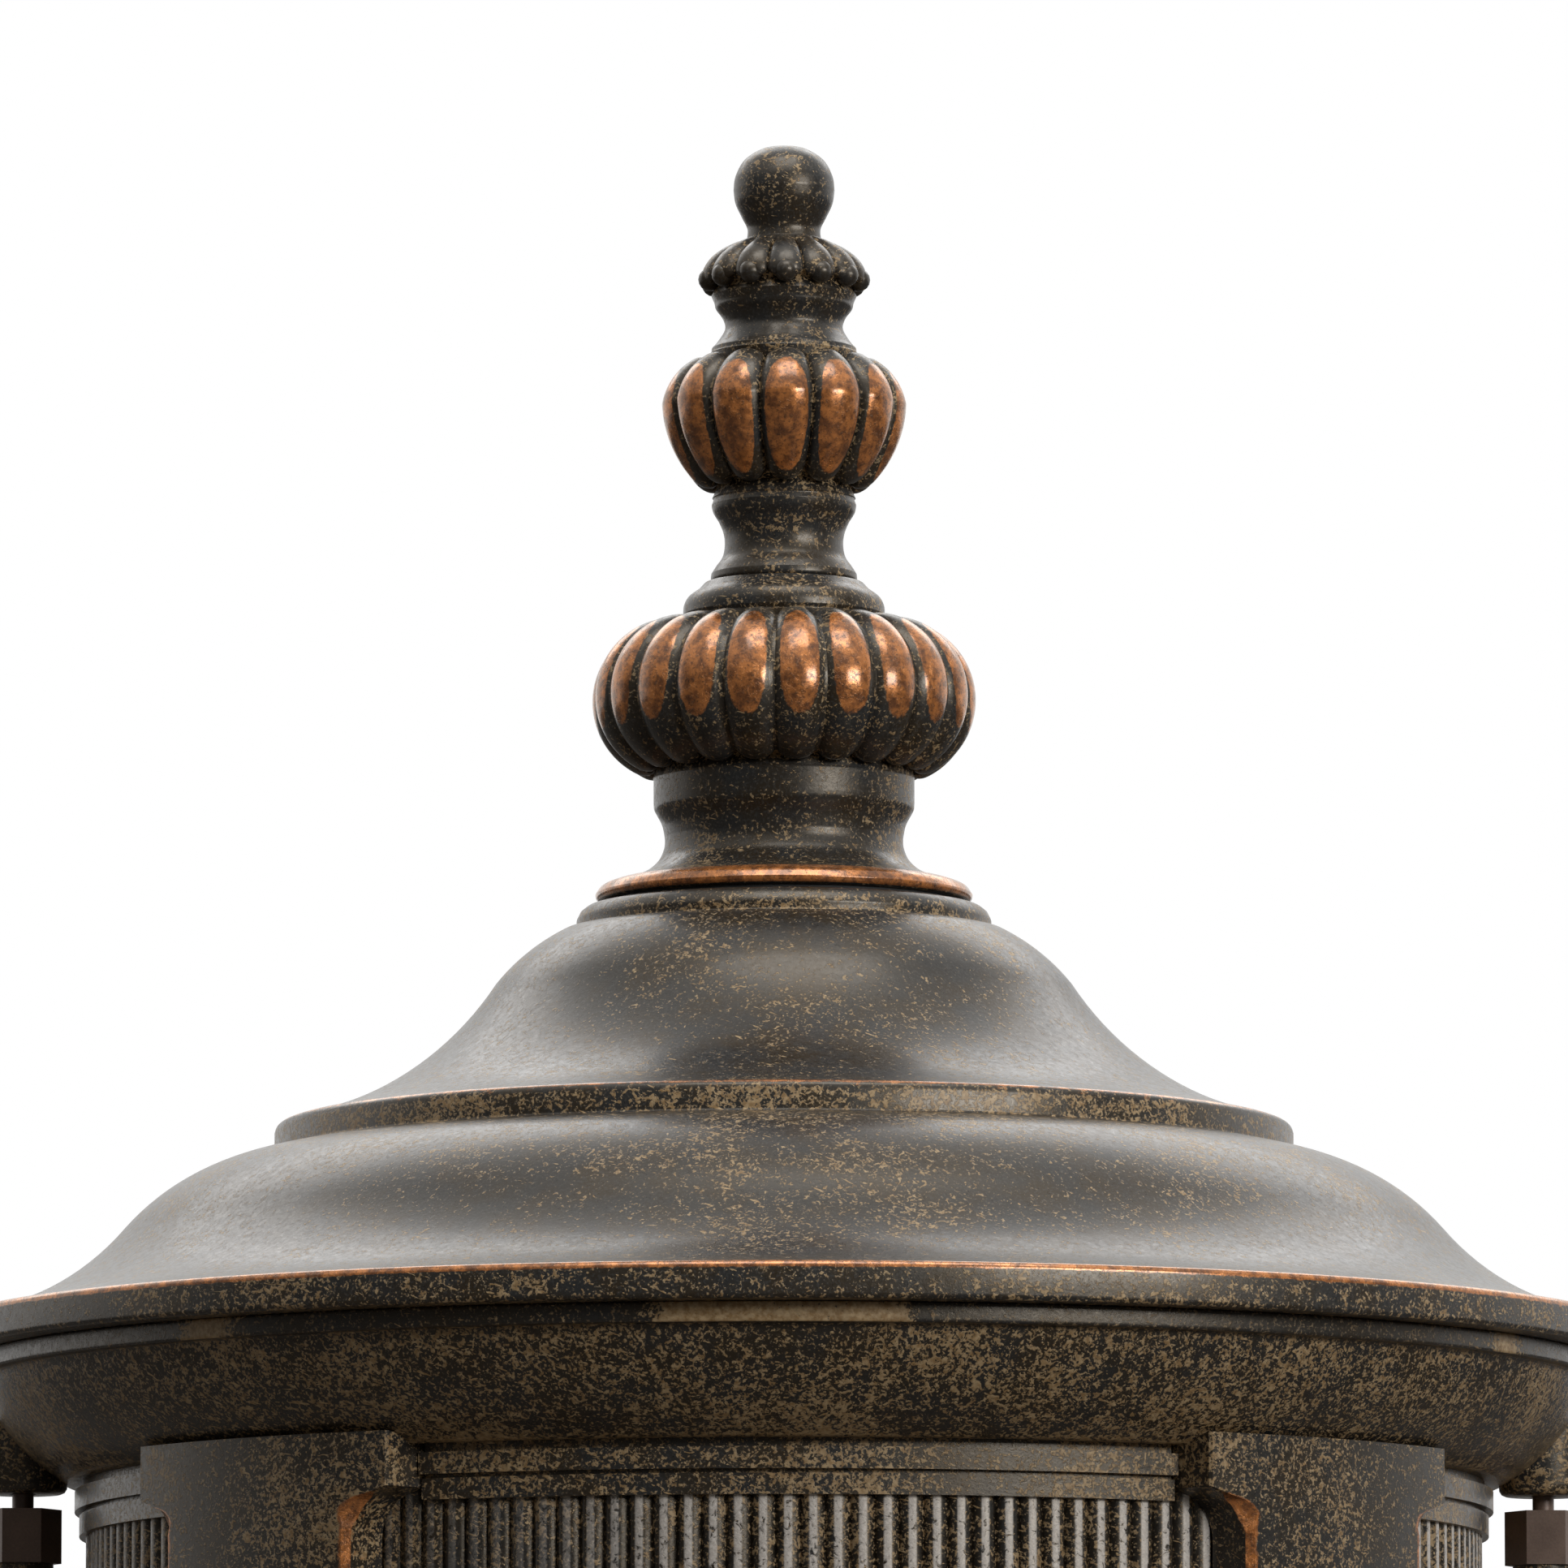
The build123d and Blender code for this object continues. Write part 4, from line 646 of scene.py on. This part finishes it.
roof_top.line(30.9, 64.9, dust=0.3).line(31.0, 66.3, dust=0.2).line(30.4, 67.5, dust=0.0)
roof_top.line(29.4, 68.3, dust=-0.2).line(28.4, 68.5).line(3.7, 68.5)
roof_top.line(3.7, 65.9).line(28.6, 65.9)
roof_top.line(30.4, 62.1).arc(40.7, 53.9, 30, step=3.0).arc(73.3, 32.5, -48, step=4.0)
roof_top.line(73.3, 28.3)
roof_top.arc(95.9, 16.9, 34.5, step=4.0).arc(122.4, 2.9, -40, step=4.0).line(118.6, 2.0)
roof_top.points.pop()
roof_piece = turned("roof_bells", roof_top, foot_of("roof"), 360, "roof_lid", closed=True)
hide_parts("roof")

# %% [markdown]
# ## Crown ring
# Under the roof a step and a deep bowl draw in to the cage. A round lug on each side takes
# the arm's stud. The ring is turned like the roof, and each lug is a small lathe of its own
# whose points are moved out to the side. On the step the sponge left a few solid gold dabs,
# so the lathe asks a small function for them at each point.

# %% Crown ring
crown_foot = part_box("frieze_drum")[1][2] / MM
LUG_OUT = 113.0
LUG_DROP = 1.5
DABS = ((-44, 1.6), (-1.5, 8.0), (58, 1.2), (95, 5.0), (168, 7.0), (-120, 6.0))


def gold_dabs(angle, radius, height):
    if not 15.1 < height < 17.95 or radius < 120:
        return 0.0, 0.0
    side = (degrees(angle) + 90 + 180) % 360 - 180
    nearest = min((abs(side - place) - half) for place, half in DABS)
    return 0.0, -0.3 + 1.8 * (1 - smoothstep(nearest, -1.5, 2.5))


def round_boss(skin, middle, outline, segments=48, dust=0.2):
    # A small turned solid about its own upright axis, closed at both ends
    rings = []
    for radius, height in outline:
        ring = []
        for segment in range(segments if radius > 0 else 1):
            angle = 2 * pi * segment / segments
            place = (middle[0] + radius * cos(angle), middle[1] + radius * sin(angle), height)
            ring.append(skin.point(place, dust=dust))
        rings.append(ring)
    for low, high in zip(rings, rings[1:]):
        skin.band(low, high)


def add_lugs(skin):
    low = crown_foot - LUG_DROP
    outline = [(0, low), (2.4, low), (5.6, low), (6.2, low + 0.25), (6.55, low + 0.8)]
    outline += [(6.6, low + 1.6), (6.6, low + 10.4), (0, low + 10.5)]
    for side in (-1, 1):
        round_boss(skin, (side * LUG_OUT, AXIS_Y / MM), outline)


crown = Profile(100.3, 0).line(106.6, 0, dust=0.6).line(107.2, 0.25, dust=0.6)
crown.arc(119.4, 15.0, -26, dust=0.32, step=1.2).line(121.2, 15.05, dust=-0.1)
crown.line(121.4, 15.3, dust=0.0).line(121.4, 17.8, dust=-0.1).line(121.2, 18.0).line(118.1, 18.0)
crown.line(118.1, 21.0).line(115.6, 21.0).line(115.6, 16.5)
crown.arc(106.0, 5.6, 26, step=3.0).line(100.3, 5.6)
# shade=0.35 darkens the whole ring as painted shade, for the shadow under the roof's rim
crown_piece = turned(
    "crown_bowl", crown, crown_foot, 360, "lantern", closed=True, extra=add_lugs, paint=gold_dabs,
    shade=0.35,
)
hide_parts("crown_ring")

# %% [markdown]
# ## Pilasters
# Four curved plates stand over the corners of the cage. Each has a shouldered head and foot,
# and along its inner edges the caster cut a chamfer that stops in a small triangle at the
# shoulder, brushed with copper. The plate is built in rows up its height: each row goes
# round the section once, so the chamfer can widen and close again.

# %% Pilasters
BACK = 103.9
FACE = 111.0
HEAD_HALF = 25.4
SHAFT_HALF = 18.6
HEAD_HEIGHT = 6.6
SHOULDER = HEAD_HALF - SHAFT_HALF
PILASTER_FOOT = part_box("pilaster_1")[0][2] / MM
PILASTER_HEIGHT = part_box("pilaster_1")[1][2] / MM - PILASTER_FOOT


def half_width(depth):
    # Half the plate's width at a distance from its nearer end
    if depth <= HEAD_HEIGHT:
        return HEAD_HALF
    if depth >= HEAD_HEIGHT + SHOULDER:
        return SHAFT_HALF
    down = depth - HEAD_HEIGHT
    return SHAFT_HALF + SHOULDER - sqrt(max(0.0, SHOULDER**2 - (SHOULDER - down) ** 2))


def chamfer_width(depth):
    # Narrow along the shaft, wide at the shoulder, closed on the head
    start = HEAD_HEIGHT + 0.2
    opening = smoothstep(depth, start, start + 1.4)
    closing = 1 - smoothstep(depth, start + 2.0, start + 5.4)
    flare = 1.7 * opening * closing
    return 0.35 + 0.55 * smoothstep(depth, start, start + 3.0) + flare


def pilaster(name, heading):
    stops = [0.0, 0.4, 2.0, 4.5, 6.2]
    stops += [HEAD_HEIGHT + 0.2 + 0.35 * step for step in range(1, 40)]
    stops += [24 + 6 * step for step in range(1, 11)]
    depths = [(depth, depth) for depth in stops if depth < PILASTER_HEIGHT / 2]
    rows = depths + [(PILASTER_HEIGHT - depth, depth) for depth, _ in reversed(depths)]
    skin = Skin()
    rings = []
    across = 24
    a = radians(heading)
    for height, depth in rows:
        half = half_width(depth)
        cut = chamfer_width(depth)
        lip = 0.35 if depth < 0.2 and height < 1 else 0.0
        front = FACE - lip
        lift = 1.6 if height > PILASTER_HEIGHT - 0.2 else 0.0
        arris = front - min(cut, 1.5)
        under = front - min(cut, 1.6)
        section = [(-half, BACK, 0), (-half, under, 0.55), (-half, arris, 1)]
        for index in range(across + 1):
            side = -half + cut + (2 * half - 2 * cut) * index / across
            section.append((side, front, 1.0 if index in (0, across) else 0.0))
        section += [(half, arris, 1), (half, under, 0.55), (half, BACK, 0)]
        section += [(half - 2 * half * index / 8, BACK, 0) for index in range(1, 8)]
        ring = []
        for side, reach, tint in section:
            outward = sqrt(reach**2 - side**2)
            near = smoothstep(depth, HEAD_HEIGHT - 0.6, HEAD_HEIGHT + 1.0)
            place = (
                outward * cos(a) - side * sin(a),
                AXIS_Y / MM + outward * sin(a) + side * cos(a),
                PILASTER_FOOT + height + (lift if reach > 107.5 else 0.0),
            )
            # The third value, 0.3, darkens the whole plate as painted shade, for the shadow under the roof's rim
            ring.append(skin.point(place, tint * near * 0.72, 0.22, 0.3))
        rings.append(ring)
    for low, high in zip(rings, rings[1:]):
        skin.band(low, high)
    skin.faces.append(tuple(reversed(rings[0])))
    skin.faces.append(tuple(rings[-1]))
    return piece_from(
        name,
        skin.vertices,
        skin.faces,
        bronze_paint,
        "lantern",
        skin.layers,
        crease=30,
    )


for index in range(4):
    plate = pilaster(f"cage_pilaster_{index + 1}", 45 + 90 * index)
    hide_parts(f"pilaster_{index + 1}")
print("pilasters", round(PILASTER_HEIGHT, 1), "mm high")

# %% [markdown]
# ## Base bowl
# The photograph ends above the lantern's foot, so the foot repeats what the finials show: a
# band of gadroons, here 24 of them, under a cove and a ring that carries the cage.

# %% Base bowl
BOWL_LOBES = 24
bowl = Profile(5.2, 0).line(17.6, 0, dust=0.1).line(18.0, 0.4, dust=0.2).line(18.0, 2.8, dust=0.2)
bowl.line(19.5, 3.4, dust=0.3)
bowl_start = bowl.line(25.0, 5.0, dust=0.3).mark()
bowl.arc(81.0, 39.0, -66, step=1.3)
bowl_end = bowl.mark()
bowl.line(82.6, 39.1, dust=0.2).line(83.0, 39.5, copper=0.7).line(83.0, 42.6, dust=0.1)
bowl.line(82.6, 43.0, copper=0.6).arc(108.5, 65.0, 24, dust=0.05, step=1.5)
bowl.line(111.3, 66.2, copper=0.5).line(111.3, 78.8, dust=0.15).line(110.6, 79.8, copper=0.7)
bowl.line(110.1, 80.0).line(100.3, 80.0).line(100.3, 77.0).line(83.3, 77.0).line(83.3, 71.0)
bowl.line(106.8, 71.0).line(106.8, 69.0).arc(79.4, 46.6, -24, step=4).line(79.4, 42.6)
bowl.arc(21.4, 8.6, 66, step=4).line(14.4, 3.6).line(5.2, 3.6)
bowl.lobed(
    bowl_start, bowl_end, BOWL_LOBES, 2.8, 0.5, copper=0.75, ends=(0.07, 0.06), patch=(0.42, 0.92)
)
bowl_piece = turned(
    "gadroon_bowl", bowl, foot_of("base_bowl"), BOWL_LOBES * 16, "lantern", closed=True
)
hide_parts("base_bowl")

# %% [markdown]
# ## Plain finishes
# What the photograph hardly shows is ordinary lantern hardware: plated screws, a porcelain
# holder, a clear glass, rubber and foam. Each gets the small unevenness that the real
# material has.


# %% Plain finishes
def metal(name, light, dark, roughness, grain_size=1.2, metallic=1.0):
    finish = Finish(name)
    cloud = finish.noise(grain_size * 6, 3.0)
    grain = finish.noise(grain_size * 0.3, 2.0)
    colour = finish.blend((cloud * 0.6 + grain * 0.4).ramp(0.3, 0.7), dark, light)
    return finish.shade(
        Base_Color=colour,
        Metallic=metallic,
        Roughness=(roughness + (cloud - 0.5) * 0.25).clamp(),
        Normal=finish.bump(grain, 0.015, 0.5),
    )


def moulded(name, light, dark, roughness, grain_size=0.4, relief=0.03, coat=0.0):
    finish = Finish(name)
    cloud = finish.noise(grain_size * 18, 3.0)
    grain = finish.noise(grain_size, 3.0)
    colour = finish.blend((cloud * 0.7 + grain * 0.3).ramp(0.3, 0.7), dark, light)
    return finish.shade(
        Base_Color=colour,
        Roughness=(roughness + (grain - 0.5) * 0.2).clamp(),
        Coat_Weight=coat,
        Coat_Roughness=0.08,
        Normal=finish.bump(grain, relief, 0.6),
    )


def clear_glass(name, tint, seeds):
    finish = Finish(name)
    wave = finish.noise(18, 2.0)
    speck = finish.noise(seeds, 2.0).ramp(0.70, 0.76)
    return finish.shade(
        Base_Color=finish.blend(wave, tint, (1.0, 1.0, 1.0)),
        Roughness=0.02 + speck * 0.05,
        Transmission_Weight=1.0,
        IOR=1.46,
        Normal=finish.bump(wave * 0.8 + speck * 0.2, 0.12, 0.25),
    )


finishes = {
    "zinc_plated_steel": metal("zinc", (0.62, 0.62, 0.58), (0.42, 0.42, 0.40), 0.34),
    "brass_contact": metal("brass", (0.80, 0.58, 0.24), (0.55, 0.36, 0.12), 0.26),
    "lamp_cap_metal": metal("cap_metal", (0.72, 0.72, 0.70), (0.52, 0.52, 0.52), 0.30),
    "white_enamel": moulded("enamel", (0.80, 0.79, 0.75), (0.70, 0.69, 0.65), 0.30, coat=0.4),
    "white_porcelain": moulded("porcelain", (0.82, 0.80, 0.74), (0.74, 0.71, 0.64), 0.22, coat=0.7),
    "black_rubber": moulded("rubber", (0.030, 0.030, 0.030), (0.014, 0.014, 0.014), 0.75),
    "grey_foam": moulded("foam", (0.12, 0.12, 0.12), (0.05, 0.05, 0.05), 0.92, 0.5, 0.15),
    "lead_sleeve": moulded("sleeve", (0.72, 0.69, 0.60), (0.52, 0.49, 0.41), 0.85, 0.35, 0.12),
    "connector_plastic": moulded("connector", (0.80, 0.24, 0.03), (0.62, 0.17, 0.02), 0.42),
    "green_screw": metal("green_screw", (0.03, 0.24, 0.08), (0.02, 0.14, 0.05), 0.35, metallic=0.3),
    "clear_glass": clear_glass("cage_glass", (0.93, 0.97, 0.96), 2.5),
    "lamp_glass": clear_glass("lamp_glass", (0.98, 0.98, 0.97), 5.0),
    "stem_glass": clear_glass("stem_glass", (0.90, 0.94, 0.93), 3.0),
}
dark_brown = metal("coupling_brown", (0.17, 0.112, 0.082), (0.11, 0.072, 0.054), 0.40, metallic=0.2)

own_finish = {
    "frieze_drum": reed_paint,
    "lower_frieze": reed_paint,
    "hex_coupling_left": dark_brown,
    "hex_coupling_right": dark_brown,
    "lug_studs": dark_brown,
}
slot_of = {row["node"]: row["material_slot"] for row in frame["record"]["subparts"]}
for name, node in nodes.items():
    finish = own_finish.get(name) or finishes.get(slot_of[name]) or bronze_paint
    node.data.materials.clear()
    node.data.materials.append(finish)
print("dressed", len(nodes), "nodes")

# %% [markdown]
# ## Lamp filament
# A clear lamp shows its filament: a thin wire that zigzags between a glass stem and four
# support hooks. It is one curve with a round section.

# %% Lamp filament
stem_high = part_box("filament_stem")[1]
filament_data = bpy.data.curves.new("filament", "CURVE")
filament_data.dimensions = "3D"
filament_data.bevel_depth = 0.00022
filament_data.bevel_resolution = 3
wire = filament_data.splines.new("POLY")
stops = []
for index in range(9):
    angle = radians(-150 + 37.5 * index)
    reach = 0.0135 if index % 2 == 0 else 0.0120
    height = stem_high[2] + (0.018 if index % 2 == 0 else -0.006)
    stops.append((reach * cos(angle), AXIS_Y + reach * sin(angle), height, 1.0))
wire.points.add(len(stops) - 1)
for point, stop in zip(wire.points, stops):
    point.co = stop
for index in (0, 2, 4, 6, 8):
    hook = filament_data.splines.new("POLY")
    hook.points.add(1)
    hook.points[0].co = (0, AXIS_Y, stem_high[2] - 0.001, 1.0)
    hook.points[1].co = stops[index]
filament = bpy.data.objects.new("filament", filament_data)
bpy.context.scene.collection.objects.link(filament)
filament_data.materials.append(finishes["lamp_cap_metal"])
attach(filament, "lamp")

# %% [markdown]
# ## Light
# The photograph has a white background, and its highlights suggest a large soft light above,
# another at the front right, and little light from the camera's side or from below. A third
# lamp, behind and above, was added to give the roof's slopes the sheen that they have in the
# photograph. The world's brightness follows the direction it is seen in: white behind the lantern and overhead, dim
# in front and underneath. To the camera and through glass it is all white. The floor is pale
# to the camera and dark to everything else, so that it doesn't light the lantern from below.

# %% Light and floor
scene = bpy.context.scene
scene.view_settings.view_transform = "Standard"

world = bpy.data.worlds.new("room")
world.use_nodes = True
scene.world = world
tree = world.node_tree
tree.nodes.clear()
way = tree.nodes.new("ShaderNodeTexCoord")
parts = tree.nodes.new("ShaderNodeSeparateXYZ")
tree.links.new(way.outputs["Generated"], parts.inputs[0])
back = Value(tree, parts.outputs["Y"]).ramp(-0.25, 0.50)
up = Value(tree, parts.outputs["Z"])
DIM = 0.10
room = DIM + (1 - DIM) * (back * up.ramp(-0.5, 0.0)).largest(up.ramp(0.15, 0.85) * 0.75)
path = tree.nodes.new("ShaderNodeLightPath")
seen = Value(tree, path.outputs["Is Camera Ray"]).largest(
    Value(tree, path.outputs["Is Transmission Ray"])
)
glossy = Value(tree, path.outputs["Is Glossy Ray"])
FILL = 0.72
background = tree.nodes.new("ShaderNodeBackground")
plug(tree, background.inputs["Color"], (1.0, 1.0, 1.0))
strength = room * (FILL + glossy * (1 - FILL))
plug(tree, background.inputs["Strength"], seen + (1 - seen) * strength)
world_output = tree.nodes.new("ShaderNodeOutputWorld")
tree.links.new(background.outputs[0], world_output.inputs["Surface"])


def softbox(name, azimuth, elevation, distance, size, watts):
    # An area lamp that faces the middle of the lantern, azimuth from the front to the right
    lamp_data = bpy.data.lights.new(name, "AREA")
    lamp_data.shape = "RECTANGLE"
    lamp_data.size, lamp_data.size_y = size
    lamp_data.energy = watts
    lamp = bpy.data.objects.new(name, lamp_data)
    scene.collection.objects.link(lamp)
    a, e = radians(azimuth), radians(elevation)
    middle = Vector((0, AXIS_Y, 0.22))
    away = Vector((sin(a) * cos(e), -cos(a) * cos(e), sin(e)))
    lamp.location = middle + distance * away
    lamp.rotation_euler = (-away).to_track_quat("-Z", "Y").to_euler()
    return lamp


softbox("top_box", 10, 70, 1.9, (1.4, 0.9), 17)
softbox("right_box", 40, 14, 2.0, (1.0, 0.5), 20)
softbox("back_box", 180, 42, 2.0, (2.8, 0.9), 14)

floor_mesh = bpy.data.meshes.new("floor")
LEVEL = cad_box[0][2] - 0.12
SPREAD = 9.0
corners = [(-SPREAD, -SPREAD), (SPREAD, -SPREAD), (SPREAD, SPREAD), (-SPREAD, SPREAD)]
floor_mesh.from_pydata([(x, y, LEVEL) for x, y in corners], [], [(0, 1, 2, 3)])
floor = bpy.data.objects.new("floor", floor_mesh)
scene.collection.objects.link(floor)
floor_finish = Finish("pale_floor")
pale = floor_finish.blend(floor_finish.noise(400, 2.0), (0.80, 0.80, 0.79), (0.84, 0.84, 0.83))
direct = floor_finish.add("ShaderNodeLightPath", "Is Camera Ray")
floor_mesh.materials.append(
    floor_finish.shade(
        Base_Color=floor_finish.blend(direct, (0.10, 0.09, 0.08), pale), Roughness=0.9
    )
)

# %% [markdown]
# ## The size
# The dressed lantern stays inside the modelled one, whose box is printed.

# %% Finish
print("cad", cad_box)
